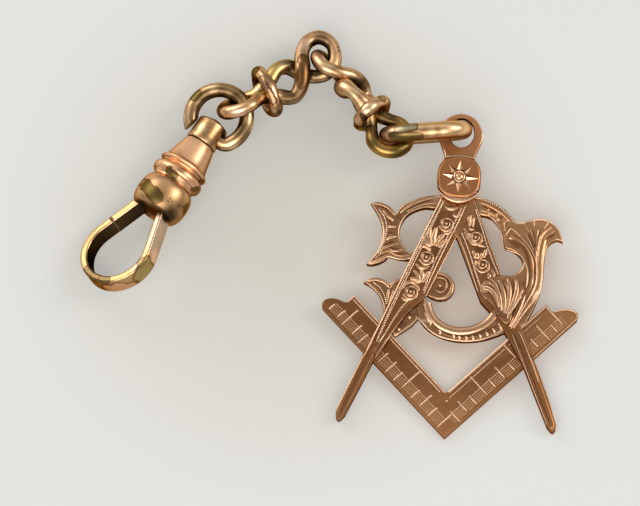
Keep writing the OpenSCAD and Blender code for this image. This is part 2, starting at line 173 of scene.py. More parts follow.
def mixed(tree, factor, first, second):
    mix = tree.nodes.new("ShaderNodeMix")
    mix.data_type = "RGBA"
    feed(tree, (mix.inputs[0], mix.inputs[6], mix.inputs[7]), (factor, first, second))
    return mix.outputs[2]


def ranged(tree, value, low, high, to_low=0.0, to_high=1.0):
    node = tree.nodes.new("ShaderNodeMapRange")
    node.clamp = True
    feed(tree, node.inputs[:5], (value, low, high, to_low, to_high))
    return node.outputs[0]


def sums(tree, operation, first, second):
    node = tree.nodes.new("ShaderNodeMath")
    node.operation = operation
    feed(tree, node.inputs, (first, second))
    return node.outputs[0]


def noise(tree, scale, detail=3.0, stretch=None):
    place = tree.nodes.new("ShaderNodeTexCoord").outputs["Object"]
    if stretch:
        mapping = tree.nodes.new("ShaderNodeMapping")
        mapping.inputs["Scale"].default_value = stretch
        tree.links.new(place, mapping.inputs[0])
        place = mapping.outputs[0]
    node = tree.nodes.new("ShaderNodeTexNoise")
    node.inputs["Scale"].default_value = scale
    node.inputs["Detail"].default_value = detail
    tree.links.new(place, node.inputs["Vector"])
    return node.outputs["Fac"]


def distance_from(tree, place, middle):
    """How far the place, a point of the surface, is from a fixed point."""
    away = tree.nodes.new("ShaderNodeVectorMath")
    away.operation = "DISTANCE"
    away.inputs[1].default_value = middle
    tree.links.new(place, away.inputs[0])
    return away.outputs["Value"]


def worn_and_shaded_metal_group():
    tree, given, out = new_group(
        "worn metal with painted shade",
        [
            ("Metal", "NodeSocketColor", (0.8, 0.5, 0.35, 1)),
            ("Worn through", "NodeSocketColor", (0.7, 0.55, 0.25, 1)),
            ("Tarnish", "NodeSocketColor", (0.2, 0.1, 0.06, 1)),
            ("Bright edge", "NodeSocketColor", (1, 0.75, 0.6, 1)),
            ("Worn share", "NodeSocketFloat", 0.2),
            ("Tarnish share", "NodeSocketFloat", 0.5),
            ("Polish", "NodeSocketFloat", 0.2),
            ("Painted underside shade", "NodeSocketFloat", 0.5),
        ],
        [
            ("Colour", "NodeSocketColor"),
            ("Roughness", "NodeSocketFloat"),
            ("Height", "NodeSocketFloat"),
        ],
    )
    take = given.outputs

    def times(first, second):
        return sums(tree, "MULTIPLY", first, second)

    def plus(first, second):
        return sums(tree, "ADD", first, second)

    def less(first, second):
        return sums(tree, "SUBTRACT", first, second)

    point = tree.nodes.new("ShaderNodeNewGeometry").outputs["Pointiness"]
    edge = ranged(tree, point, 0.52, 0.60)
    dip = ranged(tree, point, 0.49, 0.42)
    cloud = noise(tree, 900, 4)
    fine = noise(tree, 2600, 3)
    hairs = noise(tree, 1500, 2, (0.25, 2.2, 1))
    # where the plating is worn through, with a darker line round each patch
    field = noise(tree, 260, 3)
    start = less(0.72, take["Worn share"])
    patch = ranged(tree, field, start, plus(start, 0.02))
    border = less(patch, ranged(tree, field, plus(start, 0.03), plus(start, 0.05)))
    dull = times(ranged(tree, cloud, 0.38, 0.68), take["Tarnish share"])
    speck = times(ranged(tree, fine, 0.62, 0.72), take["Tarnish share"])
    deep = times(dip, take["Tarnish share"])
    # the flanks and the underside are painted darker in the tarnish colour: painted shade, and also the
    # tarnish of metal that is never rubbed
    facing = tree.nodes.new("ShaderNodeSeparateXYZ")
    tree.links.new(tree.nodes.new("ShaderNodeTexCoord").outputs["Normal"], facing.inputs[0])
    below = times(ranged(tree, facing.outputs["Z"], 0.6, 0.2), take["Painted underside shade"])
    colour = mixed(tree, patch, take["Metal"], take["Worn through"])
    for share in (times(dull, 0.4), times(border, 0.5), times(speck, 0.5), deep, below):
        colour = mixed(tree, share, colour, take["Tarnish"])
    colour = mixed(tree, times(edge, 0.75), colour, take["Bright edge"])
    rough = plus(take["Polish"], ranged(tree, fine, 0.35, 0.7, 0.0, 0.05))
    rough = plus(rough, ranged(tree, hairs, 0.45, 0.7, 0.0, 0.04))
    rough = plus(rough, times(deep, 0.2))
    height = less(plus(fine, times(hairs, 0.5)), times(patch, 0.4))
    for label, value in (("Colour", colour), ("Roughness", rough), ("Height", height)):
        tree.links.new(value, out.inputs[label])
    return tree


WORN_AND_SHADED_METAL = worn_and_shaded_metal_group()

# Colours of the metal, of its wear and of painted shade
BRASS = (0.66, 0.47, 0.19)
OLIVE = (0.50, 0.36, 0.13)
BROWN = (0.13, 0.055, 0.025)
RED_BROWN = (0.34, 0.15, 0.075)
SALMON = (1.0, 0.70, 0.48)
# near black, for tarnish and for painted shade
SHADE_AND_TARNISH_BLACK = (0.05, 0.035, 0.02)
DEEP_BROWN = (0.14, 0.085, 0.035)
WARM_BROWN = (0.42, 0.24, 0.12)
WORN_OLIVE = (0.17, 0.12, 0.035)
PALE_OLIVE = (0.47, 0.38, 0.20)
YELLOW_BRASS = (0.70, 0.49, 0.17)
PALE_GOLD = (0.86, 0.62, 0.34)
PALE_PINK = (0.90, 0.60, 0.41)
GREY_GOLD = (0.62, 0.47, 0.36)

# Patches of wear, painted shade and painted sheen, in millimetres: how their edges wander, and the dark
# outline round each sharp one
WOBBLE, WOBBLE_SCALE = 0.8, 650
OUTLINE_FROM, OUTLINE_TO = 0.14, 0.22
SOFT_PATCH = 0.2
PATCH_SHARE, OUTLINE_SHARE = 0.9, 0.85


def patched(tree, colour, patches):
    """Worn or tarnished places, painted shade and painted sheen, each (place, radius, softness, colour), in
    millimetres.
    """
    place = tree.nodes.new("ShaderNodeTexCoord").outputs["Object"]
    wobble = tree.nodes.new("ShaderNodeTexNoise")
    wobble.inputs["Scale"].default_value = WOBBLE_SCALE
    tree.links.new(place, wobble.inputs["Vector"])
    shift = tree.nodes.new("ShaderNodeVectorMath")
    shift.operation = "MULTIPLY_ADD"
    shift.inputs[1].default_value = (WOBBLE * MM,) * 3
    tree.links.new(wobble.outputs["Color"], shift.inputs[0])
    tree.links.new(place, shift.inputs[2])
    rows = []
    for middle, radius, softness, tone in patches:
        away = distance_from(tree, shift.outputs[0], [(v + WOBBLE / 2) * MM for v in middle])
        rows.append((away, radius * MM, softness, (*tone, 1)))

    def filled(under, some):
        for away, reach, softness, tone in some:
            fade = ranged(tree, away, reach * (1 - softness), reach * (1 + softness), PATCH_SHARE, 0.0)
            under = mixed(tree, fade, under, tone)
        return under

    colour = filled(colour, [row for row in rows if row[2] >= SOFT_PATCH])
    sharp = [row for row in rows if row[2] < SOFT_PATCH]
    for away, reach, _, _ in sharp:
        outline = ranged(tree, away, reach + OUTLINE_FROM * MM, reach + OUTLINE_TO * MM, OUTLINE_SHARE, 0.0)
        colour = mixed(tree, outline, colour, (*BROWN, 1))
    return filled(colour, sharp)


def spots(colour, softness, *places):
    """Round patches, each place with its radius behind it."""
    return [(place[:3], place[3], softness, colour) for place in places]


def streak(colour, start, end, radius, count):
    """A long sharp-edged patch from one place to another."""
    a, b = Vector(start), Vector(end)
    return [(tuple(a + (b - a) * i / (count - 1)), radius, 0.08, colour) for i in range(count)]


def hollow(colour, piece, middle, radius):
    """Shade inside a hole, its middle given in the piece's own frame."""
    return [(tuple(piece @ Vector(middle)), radius, 0.2, colour)]


# Share of the metal's colour that it keeps where it is seen at a slant
SLANT_SHARE = 0.6
SCRATCH_DEPTH = 0.00003


def metal(name, clean, worn=OLIVE, tarnish=BROWN, bright=SALMON, worn_share=0.0, tarnish_share=0.6,
          polish=0.26, bump=0.25, below=0.5, patches=()):
    """Worn gold: its clean, worn-through, tarnished and bright colours, their shares, the share of painted
    shade on its underside and its patches.
    """
    material = bpy.data.materials.new(name)
    material.use_nodes = True
    tree = material.node_tree
    shader = tree.nodes["Principled BSDF"]
    shader.inputs["Metallic"].default_value = 1.0
    shader.inputs["Specular Tint"].default_value = (*(SLANT_SHARE * v for v in clean), 1)
    group = tree.nodes.new("ShaderNodeGroup")
    group.node_tree = WORN_AND_SHADED_METAL
    values = (clean, worn, tarnish, bright, worn_share, tarnish_share, polish, below)
    for socket, value in zip(group.inputs, values):
        socket.default_value = (*value, 1) if isinstance(value, tuple) else value
    raised = tree.nodes.new("ShaderNodeBump")
    raised.inputs["Strength"].default_value = bump
    raised.inputs["Distance"].default_value = SCRATCH_DEPTH
    tree.links.new(patched(tree, group.outputs["Colour"], patches), shader.inputs["Base Color"])
    tree.links.new(group.outputs["Roughness"], shader.inputs["Roughness"])
    tree.links.new(group.outputs["Height"], raised.inputs["Height"])
    tree.links.new(raised.outputs[0], shader.inputs["Normal"])
    return material


# Patches of wear, of painted shade and of painted sheen: each piece's patches, as places on the finished fob
# with the radius behind them, in millimetres
# painted sheen: broad paler patches on the boss, the eye and the lower and right parts of the pendant, where
# its flats catch more light
SQUARE_PAINTED_SHEEN = (
    spots((0.54, 0.225, 0.09), 0.2, (14.5, 5.9, 4.2, 3.4))
    + spots((0.72, 0.32, 0.14), 0.3, (14.9, 12.5, 3.0, 4.2))
    + spots((0.5, 0.24, 0.1), 0.7, (19.0, -1.0, 4.0, 4.0), (25.0, -9.0, 3.0, 4.0))
    + spots((0.47, 0.22, 0.09), 0.7, (12.4, -20.5, 2.0, 4.5))
    + spots((0.42, 0.19, 0.07), 0.6, (23.8, -19.5, 2.0, 4.5))
)
# link A: patches of worn plating and tarnish, and painted shade in its darkest places and in its holes
LINK_A_WEAR_AND_SHADE = (
    spots(YELLOW_BRASS, 0.3, (-6.0, 18.4, 4.6, 1.3), (-6.5, 17.6, 4.7, 0.9), (-7.6, 15.1, 5.5, 0.7))
    + spots(PALE_OLIVE, 0.3, (-4.7, 19.5, 4.1, 0.7))
    + spots(WARM_BROWN, 0.4, (-6.8, 16.4, 6.5, 0.8), (-5.6, 13.9, 5.5, 0.7), (-2.8, 15.6, 4.3, 1.1),
            (-2.8, 17.9, 5.0, 1.0))
    + spots(PALE_PINK, 0.4, (-6.2, 14.9, 6.3, 0.6), (-2.9, 21.4, 4.3, 1.0), (-10.0, 12.4, 6.3, 0.9))
    + spots(WARM_BROWN, 0.12, (-2.85, 19.4, 4.9, 0.55))
    + spots(DEEP_BROWN, 0.35, (-4.1, 19.1, 3.7, 0.9), (-4.5, 15.2, 4.5, 0.9), (-11.7, 13.9, 4.8, 0.8))
    + spots(SHADE_AND_TARNISH_BLACK, 0.5, (-8.4, 17.3, 3.4, 0.9), (-1.3, 18.5, 3.5, 0.9), (-5.5, 13.1, 4.8, 0.4),
            (-0.9, 22.2, 3.3, 0.9), (-1.8, 21.7, 3.4, 0.6), (-10.1, 14.0, 4.6, 0.8))
    + spots(WORN_OLIVE, 0.12, (-8.35, 18.05, 5.3, 0.55), (-8.7, 12.9, 5.5, 0.45))
    + streak((0.24, 0.12, 0.045), (-2.7, 19.4, 4.85), (-2.9, 16.6, 4.8), 0.55, 7)
    + streak((0.46, 0.28, 0.15), (-7.5, 16.4, 6.3), (-6.3, 14.2, 5.9), 0.42, 6)
    + spots(SHADE_AND_TARNISH_BLACK, 0.3, (0.9, 22.0, 3.8, 0.2), (1.2, 21.5, 3.5, 0.16), (1.3, 21.0, 3.5, 0.16))
    + hollow(SHADE_AND_TARNISH_BLACK, LINK_A, (5.9, 0.0, -0.3), 1.3)
    + hollow(SHADE_AND_TARNISH_BLACK, LINK_A, (11.0, 1.25, -0.5), 1.85)
    + hollow(DEEP_BROWN, LINK_A, (0.0, 0.0, -0.2), 1.6)
)
# link B: patches of worn plating and tarnish, and painted shade in its darkest places and in its holes
LINK_B_WEAR_AND_SHADE = (
    spots((0.42, 0.24, 0.055), 0.2, (7.0, 10.3, 3.4, 3.5))
    + spots(WORN_OLIVE, 0.4, (7.6, 8.4, 4.4, 0.9), (8.7, 9.1, 4.3, 0.6), (5.0, 9.8, 4.7, 0.8))
    + spots(PALE_GOLD, 0.4, (2.8, 14.8, 6.1, 0.9), (-0.1, 18.4, 5.6, 0.8), (4.9, 13.0, 6.3, 0.7))
    + spots(WARM_BROWN, 0.4, (1.0, 17.7, 5.3, 0.9), (4.6, 12.2, 5.8, 0.6), (3.6, 14.4, 5.8, 0.6),
            (3.7, 11.6, 5.2, 0.6))
    + spots(DEEP_BROWN, 0.4, (6.7, 12.9, 4.0, 1.0), (5.3, 11.2, 4.1, 0.9), (-0.8, 20.2, 4.5, 0.8),
            (3.9, 17.2, 3.2, 0.8))
    + spots(SHADE_AND_TARNISH_BLACK, 0.4, (2.9, 17.0, 3.7, 1.1), (4.3, 11.9, 4.2, 0.7), (6.0, 12.2, 3.6, 0.8))
    + spots(PALE_OLIVE, 0.12, (6.1, 14.5, 5.6, 0.42))
    + streak(SHADE_AND_TARNISH_BLACK, (3.75, 12.35, 6.0), (4.35, 11.7, 5.5), 0.2, 5)
    + hollow((0.11, 0.07, 0.022), LINK_B, (0.2, 0.0, 0.0), 1.7)
    + hollow(SHADE_AND_TARNISH_BLACK, LINK_B, (11.0, -0.3, 0.0), 1.7)
)
OVAL_RING_WEAR = (
    streak((0.50, 0.42, 0.24), (7.7, 10.55, 6.35), (9.35, 10.9, 6.5), 0.45, 5)
    + streak((0.20, 0.14, 0.045), (7.15, 9.75, 5.75), (8.2, 9.68, 6.15), 0.42, 4)
    + streak((0.20, 0.14, 0.045), (8.5, 9.68, 6.22), (9.9, 9.72, 6.3), 0.44, 5)
    + spots(WARM_BROWN, 0.5, (10.6, 10.1, 6.5, 0.6), (12.0, 10.2, 6.4, 0.4))
    + spots(PALE_PINK, 0.5, (6.2, 10.4, 5.2, 1.0))
)
# swivel ring: patches of worn plating and tarnish, and painted shade inside the ring
SWIVEL_RING_WEAR_AND_SHADE = (
    spots(PALE_GOLD, 0.5, (-12.4, 16.9, 4.5, 1.2), (-15.9, 13.0, 3.9, 0.7), (-8.4, 11.9, 4.2, 0.8),
          (-10.7, 9.5, 3.9, 0.6))
    + spots(DEEP_BROWN, 0.5, (-13.6, 15.3, 4.8, 0.8), (-11.9, 15.4, 5.0, 0.8), (-10.3, 14.9, 4.9, 0.9),
            (-9.9, 11.2, 4.4, 0.9))
    + spots(WARM_BROWN, 0.5, (-15.0, 12.6, 3.9, 0.7), (-14.7, 13.9, 4.1, 0.6))
    + spots(WORN_OLIVE, 0.15, (-14.8, 15.4, 4.4, 0.7))
    + hollow((0.10, 0.065, 0.03), SWIVEL_RING, (2.2, 0.0, -0.2), 2.7)
)
# clasp: the bulb's tone, patches of worn plating and tarnish with small dark specks, and painted shade where
# the hook meets the bulb
CLASP_WEAR_AND_SHADE = (
    spots((0.56, 0.33, 0.14), 0.25, (-18.6, 2.7, 4.0, 3.0))
    + spots(WARM_BROWN, 0.5, (-17.8, 1.5, 5.4, 0.9), (-17.2, 0.8, 4.2, 1.0), (-16.3, 1.9, 4.4, 0.7),
            (-16.8, 4.5, 5.6, 0.8), (-16.1, 5.8, 6.0, 0.5))
    + spots(DEEP_BROWN, 0.5, (-18.9, 1.6, 5.0, 1.0), (-20.1, 2.4, 4.4, 0.9), (-17.9, 1.1, 4.8, 0.9))
    + spots(SHADE_AND_TARNISH_BLACK, 0.5, (-20.2, 2.0, 3.5, 1.3), (-19.0, 1.2, 4.0, 1.3), (-17.9, 0.8, 4.3, 1.0),
            (-17.5, 2.35, 5.9, 0.12), (-17.2, 2.1, 5.8, 0.1), (-16.9, 2.5, 5.6, 0.09),
            (-17.8, 2.1, 5.9, 0.1), (-17.1, 1.8, 5.5, 0.11), (-16.7, 2.2, 5.3, 0.09),
            (-16.5, 1.95, 4.9, 0.16), (-16.1, 1.9, 4.5, 0.14))
    + spots(WORN_OLIVE, 0.1, (-20.3, 4.3, 5.4, 0.6), (-19.95, 3.85, 5.75, 0.66), (-19.6, 3.35, 6.0, 0.7),
            (-19.3, 2.95, 6.05, 0.68), (-19.0, 2.55, 6.05, 0.62), (-17.6, 5.8, 5.7, 0.35),
            (-17.0, 5.4, 5.7, 0.35), (-14.75, 4.2, 4.1, 0.4), (-14.2, 5.4, 3.4, 0.3), (-15.9, 2.0, 3.8, 0.4))
    + spots(PALE_OLIVE, 0.1, (-20.7, 4.9, 4.7, 0.42))
)
HOOK_WEAR = (
    spots(GREY_GOLD, 0.4, (-18.9, -2.4, 4.4, 1.5), (-18.4, -0.2, 4.3, 1.4))
    + spots(PALE_PINK, 0.4, (-19.2, -3.8, 4.2, 0.9))
    + spots((0.24, 0.21, 0.17), 0.4, (-18.0, 0.9, 4.0, 0.7), (-20.3, 2.4, 2.8, 1.2))
    + spots((0.24, 0.16, 0.07), 0.12, (-26.4, -4.9, 3.3, 0.6), (-25.7, -5.8, 3.8, 0.6),
            (-24.7, -6.4, 4.4, 0.6))
    + spots((0.46, 0.34, 0.13), 0.15, (-20.7, -5.9, 4.6, 0.9), (-19.85, -5.4, 4.2, 0.9),
            (-20.15, -5.0, 5.1, 0.8), (-20.4, -5.8, 3.6, 0.8))
    + spots((0.66, 0.37, 0.20), 0.12, (-22.9, -7.2, 3.6, 1.0), (-21.7, -6.9, 3.5, 0.7),
            (-24.2, -7.2, 3.2, 0.8))
)
# painted sheen: the horn made paler where it catches more light
HORN_PAINTED_SHEEN = spots((0.66, 0.36, 0.17), 0.6, (22.5, 1.0, 4.0, 5.5))
# a darker patch on the barrel's right flank, painted shade, and a paler patch near its top
BARREL_PATCHES_AND_SHADE = (
    spots(DEEP_BROWN, 0.5, (-11.5, 10.2, 3.6, 0.8))
    + spots(PALE_GOLD, 0.5, (-14.0, 11.2, 4.6, 0.6))
)

# The pendant's metals
FLAT_METAL = metal("satin rose gold", (0.31, 0.132, 0.047), tarnish=(0.22, 0.09, 0.03),
                   bright=(0.66, 0.38, 0.2), tarnish_share=0.7, polish=0.34, bump=0.12, below=0.6,
                   patches=SQUARE_PAINTED_SHEEN)
RELIEF_METAL = metal("cast rose gold", (0.48, 0.24, 0.105), tarnish_share=0.7, polish=0.28, below=0.6,
                     patches=HORN_PAINTED_SHEEN)
HOLLOW_METAL = metal("shaded ground", (0.24, 0.11, 0.045), bright=RED_BROWN, tarnish_share=0.8, polish=0.36)
# dark gold, mostly painted shade: lines and rings beside the relief and in its hollows, beds under the beads
# and the walls of holes; also the gate's seam
DARK_METAL = metal("dark gold for painted shade and the seam", (0.13, 0.06, 0.025), bright=RED_BROWN, tarnish_share=0.8, polish=0.42)
# painted glint: near white gold for the engraved strokes, the rims, crests and edges and the star's lit
# faces
PAINTED_GLINT_METAL = metal("gold with painted glint", (0.95, 0.6, 0.35), worn=SALMON, tarnish=(0.7, 0.4, 0.22),
                   tarnish_share=0.5, polish=0.27, bump=0.05, below=0.6)
FINE_CUT = metal("fine ruled gold", (0.62, 0.36, 0.18), worn=SALMON, tarnish=RED_BROWN,
                 bright=(0.8, 0.5, 0.3), tarnish_share=0.5, polish=0.3, bump=0.05, below=0.3)
GRAIN_METAL = metal("beaded edge gold", (1.0, 0.74, 0.50), worn=SALMON, bright=(1.0, 0.85, 0.66), polish=0.2,
                    bump=0.05, below=0.9)
BAND_METAL = metal("polished gold for bands, beads and painted crests", (0.86, 0.50, 0.28), tarnish_share=0.4, polish=0.24, bump=0.15)

# The chain's and the clasp's metals
LINK_A_METAL = metal("first link gold", (0.95, 0.565, 0.27), tarnish=SHADE_AND_TARNISH_BLACK, worn_share=0.05, polish=0.29,
                     bump=0.12, below=1.0, patches=LINK_A_WEAR_AND_SHADE)
LINK_B_METAL = metal("second link gold", (1.0, 0.61, 0.32), tarnish=SHADE_AND_TARNISH_BLACK, worn_share=0.05, polish=0.29,
                     bump=0.12, below=1.0, patches=LINK_B_WEAR_AND_SHADE)
RING_METAL = metal("oval ring gold", (1.0, 0.63, 0.31), worn=BRASS, tarnish=SHADE_AND_TARNISH_BLACK, tarnish_share=0.0,
                   polish=0.3, bump=0.0, below=0.7, patches=OVAL_RING_WEAR)
SWIVEL_METAL = metal("swivel ring gold", (0.76, 0.48, 0.23), tarnish=SHADE_AND_TARNISH_BLACK, worn_share=0.05, bump=0.1,
                     below=1.0, patches=SWIVEL_RING_WEAR_AND_SHADE)
CLASP_METAL = metal("clasp gold", (1.0, 0.59, 0.33), tarnish_share=0.05, polish=0.33, bump=0.04, below=0.7,
                    patches=CLASP_WEAR_AND_SHADE)
HOOK_METAL = metal("hook gold", (0.72, 0.44, 0.18), tarnish_share=0.4, polish=0.24, bump=0.15, below=0.6,
                   patches=HOOK_WEAR)
INSIDE_METAL = metal("hook's inner wall", (0.04, 0.025, 0.012), tarnish=SHADE_AND_TARNISH_BLACK, bright=(0.10, 0.062, 0.028),
                     tarnish_share=0.8, polish=0.3, bump=0.3, below=0.6)
BARREL_METAL = metal("barrel gold", (0.62, 0.36, 0.16), bump=0.3, below=0.7, patches=BARREL_PATCHES_AND_SHADE)

# Lines on a plane


def flow(points, steps=6, closed=False):
    """Smooth line through the points, each a tuple of numbers."""
    count = len(points)
    spans = count if closed else count - 1
    pick = (lambda i: points[i % count]) if closed else (lambda i: points[min(max(i, 0), count - 1)])
    line = []
    for i in range(spans):
        a, b, c, d = (pick(i + k) for k in (-1, 0, 1, 2))
        for k in range(steps):
            t = k / steps
            line.append(
                tuple(
                    0.5
                    * (
                        2 * q
                        + (r - p) * t
                        + (2 * p - 5 * q + 4 * r - s) * t * t
                        + (3 * q - p - 3 * r + s) * t * t * t
                    )
                    for p, q, r, s in zip(a, b, c, d)
                )
            )
    if not closed:
        line.append(tuple(points[-1]))
    return line


def joined_runs(*runs):
    """Smooth runs end to end, with a corner where each but the last gives way to the next."""
    line = []
    for run in runs[:-1]:
        line += flow(run)[:-1]
    return line + flow(runs[-1])


def arc(x, y, radius, start, end, count, tall=None):
    """Points round a middle, from one angle to another in degrees; tall is an oval's radius along Y."""
    angles = [math.radians(start + (end - start) * i / (count - 1)) for i in range(count)]
    return [(x + radius * math.cos(a), y + (tall or radius) * math.sin(a)) for a in angles]


def mirrored(outline):
    return [(-x, y) for x, y in outline[::-1]]


def along(points, pitch):
    """Places at an even pitch along a smooth line."""
    line = [Vector(p) for p in flow(points, 8)]
    places, left = [line[0]], pitch
    for a, b in zip(line, line[1:]):
        length = (b - a).length
        while left <= length:
            places.append(a + (b - a) * left / length)
            left += pitch
        left -= length
    return places


# Strokes on a plane, as lines of (x, y, half width)


def wide(points, half_width):
    return [(x, y, half_width) for x, y in points]


def even(points, half_width):
    return wide(flow(points, 4), half_width)


def swell(points, half_width, tip=0.2, steps=4):
    """Line that is thin at its ends and full in the middle, like a leaf's flute."""
    line = flow(points, steps)
    last = len(line) - 1
    return [
        (x, y, half_width * (tip + (1 - tip) * math.sin(math.pi * i / last) ** 0.7))
        for i, (x, y) in enumerate(line)
    ]


def tapered(points, half_width, end):
    """Line that starts full and thins out to its end."""
    line = flow(points, 4)
    last = len(line) - 1
    return [(x, y, half_width * (1 - (1 - end) * i / last)) for i, (x, y) in enumerate(line)]


def graved(start, end, half_width):
    """Graver's stroke: rounded at its start, full in the middle and thin at its end."""
    marks = ((0, 0.6), (0.06, 1), (0.5, 0.85), (0.85, 0.6), (1, 0.25))
    (x0, y0), (x1, y1) = start, end
    return [(x0 + (x1 - x0) * t, y0 + (y1 - y0) * t, half_width * w) for t, w in marks]


# Making solids

MERGE = 0.0005


def shown(data, name):
    obj = bpy.data.objects.new(name, data)
    scene.collection.objects.link(obj)
    return only(obj)


def clean(obj):
    """Doubles merged and faces outwards."""
    only(obj)
    bpy.ops.object.mode_set(mode="EDIT")
    bpy.ops.mesh.select_all(action="SELECT")
    bpy.ops.mesh.remove_doubles(threshold=MERGE)
    bpy.ops.mesh.normals_make_consistent(inside=False)
    bpy.ops.object.mode_set(mode="OBJECT")
    return obj


def wires(name, strokes, sides=12, closed=False):
    """Round wires along lines of (x, y, z, radius)."""
    curve = bpy.data.curves.new(name, "CURVE")
    curve.dimensions = "3D"
    curve.bevel_depth = 1.0
    curve.bevel_resolution = (sides - 4) // 2
    curve.use_fill_caps = not closed
    for stroke in strokes:
        spline = curve.splines.new("POLY")
        spline.points.add(len(stroke) - 1)
        for point, (x, y, z, radius) in zip(spline.points, stroke):
            point.co = (x, y, z, 1)
            point.radius = radius
        spline.use_cyclic_u = closed
    obj = shown(curve, name)
    bpy.ops.object.convert(target="MESH")
    return clean(bpy.context.object)


def plate(name, outlines, low, high, edge=0.12, steps=2):
    """Flat metal with rounded edges, from closed outlines; an outline inside another is a hole."""
    curve = bpy.data.curves.new(name, "CURVE")
    curve.dimensions = "2D"
    curve.fill_mode = "BOTH"
    curve.extrude = (high - low) / 2 - edge
    curve.bevel_depth = edge
    curve.bevel_resolution = steps
    curve.offset = -edge
    for outline in outlines:
        spline = curve.splines.new("POLY")
        spline.points.add(len(outline) - 1)
        for point, spot in zip(spline.points, outline):
            point.co = (spot[0], spot[1], 0, 1)
        spline.use_cyclic_u = True
    obj = shown(curve, name)
    obj.location.z = (low + high) / 2
    bpy.ops.object.convert(target="MESH")
    bpy.ops.object.transform_apply(location=True, rotation=True, scale=True)
    return clean(bpy.context.object)


def turned(name, profile, steps=64):
    """Profile of (radius, height) spun about Z."""
    mesh = bpy.data.meshes.new(name)
    mesh.from_pydata([(r, 0, z) for r, z in profile], [(i, i + 1) for i in range(len(profile) - 1)], [])
    obj = shown(mesh, name)
    bpy.ops.object.mode_set(mode="EDIT")
    bpy.ops.mesh.select_all(action="SELECT")
    bpy.ops.mesh.spin(steps=steps, angle=2 * math.pi, center=(0, 0, 0), axis=(0, 0, 1))
    bpy.ops.object.mode_set(mode="OBJECT")
    return clean(obj)


def joined(name, *parts):
    only(parts[0])
    for part in parts:
        part.select_set(True)
    bpy.context.view_layer.objects.active = parts[0]
    bpy.ops.object.join()
    obj = bpy.context.object
    obj.name = obj.data.name = name
    return obj


def cut(obj, cutter):
    """Takes the cutter's shape away; the cut faces keep the cutter's material."""
    only(obj)
    modifier = obj.modifiers.new("cut", "BOOLEAN")
    modifier.operation = "DIFFERENCE"
    modifier.solver = "EXACT"
    modifier.use_self = True
    modifier.material_mode = "TRANSFER"
    modifier.object = cutter
    bpy.ops.object.modifier_apply(modifier=modifier.name)
    bpy.data.objects.remove(cutter)
    return obj


def coated(obj, material):
    obj.data.materials.clear()
    obj.data.materials.append(material)
    return obj


def smooth(obj, angle=38):
    only(obj)
    bpy.ops.object.shade_smooth_by_angle(angle=math.radians(angle))
    return obj


def laid(obj, place, body, *nodes, slot="rose_gold"):
    """Moves a finished piece from its own frame in millimetres to its place on the fob."""
    only(obj)
    obj.data.transform(Matrix.Scale(MM, 4) @ place)
    obj.data.update()
    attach(obj, body)
    if nodes:
        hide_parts(*nodes)
    return obj


def ribs(name, strokes, level, rise, material, sides=8):
    """Low ribs of a flattened round section along strokes."""
    obj = wires(name, [[(x, y, 0, r) for x, y, r in stroke] for stroke in strokes], sides)
    obj.data.transform(Matrix.Translation((0, 0, level)) @ Matrix.Diagonal((1, 1, rise, 1)))
    return smooth(coated(obj, material), 70)


def fluted(name, rows, level, rise, material, tip=0.2, sides=8):
    """Ribs along rows of (half width, points), thin at both ends."""
    return ribs(name, [swell(points, width, tip) for width, points in rows], level, rise, material, sides)


def climb(obj, lift, start, run):
    """Raises the part of a rib that lies below a height on the pendant, over a slope of the given run."""
    for corner in obj.data.vertices:
        corner.co.z += lift * min(max((start - corner.co.y) / run, 0), 1)
    return obj


def ball(x, y, z, radius, material, flat=1.0, segments=16):
    bpy.ops.mesh.primitive_uv_sphere_add(segments=segments, ring_count=segments // 2, radius=radius)
    obj = bpy.context.object
    obj.data.transform(Matrix.Translation((x, y, z)) @ Matrix.Diagonal((1, 1, flat, 1)))
    return smooth(coated(obj, material), 60)


def grains(name, places, radius):
    """One small bead, copied to every place (x, y, z)."""
    bpy.ops.mesh.primitive_ico_sphere_add(subdivisions=1, radius=radius)
    bead = bpy.context.object
    corners = [v.co.copy() for v in bead.data.vertices]
    sides = [tuple(p.vertices) for p in bead.data.polygons]
    bpy.data.objects.remove(bead)
    mesh = bpy.data.meshes.new(name)
    mesh.from_pydata(
        [corner + Vector(place) for place in places for corner in corners],
        [],
        [tuple(i + n * len(corners) for i in side) for n in range(len(places)) for side in sides],
    )
    mesh.polygons.foreach_set("use_smooth", [True] * len(mesh.polygons))
    return coated(shown(mesh, name), GRAIN_METAL)


# Pendant: the square

PLATE_BACK, PLATE_EDGE = 0.8, 0.14
SQUARE_CORNER = Matrix.Translation((-0.1, -24.45, 0)) @ turn("Z", 0.6)
SQUARE_TOP = 1.6
ARM_LENGTH, ARM_WIDTH = 14.9, 3.65
SLANT = math.sqrt(0.5)
ARM_TIP = [
    (ARM_LENGTH + 0.3, -1.4), (ARM_LENGTH + 1, -1.7), (ARM_LENGTH + 1.6, -2.2), (ARM_LENGTH + 1.9, -2.8),
    (ARM_LENGTH + 1.8, -3.3), (ARM_LENGTH + 1.3, -ARM_WIDTH),
]
ARM = [(0, 0), (ARM_LENGTH, 0), (ARM_LENGTH, -1.1), *flow(ARM_TIP, 4)]


def on_arm(points, side):
    """Points (along, across) of an arm, in the square's own frame; side is 1 for right, -1 for left."""
    return [(side * (x - y) * SLANT, (x + y) * SLANT) for x, y in points]


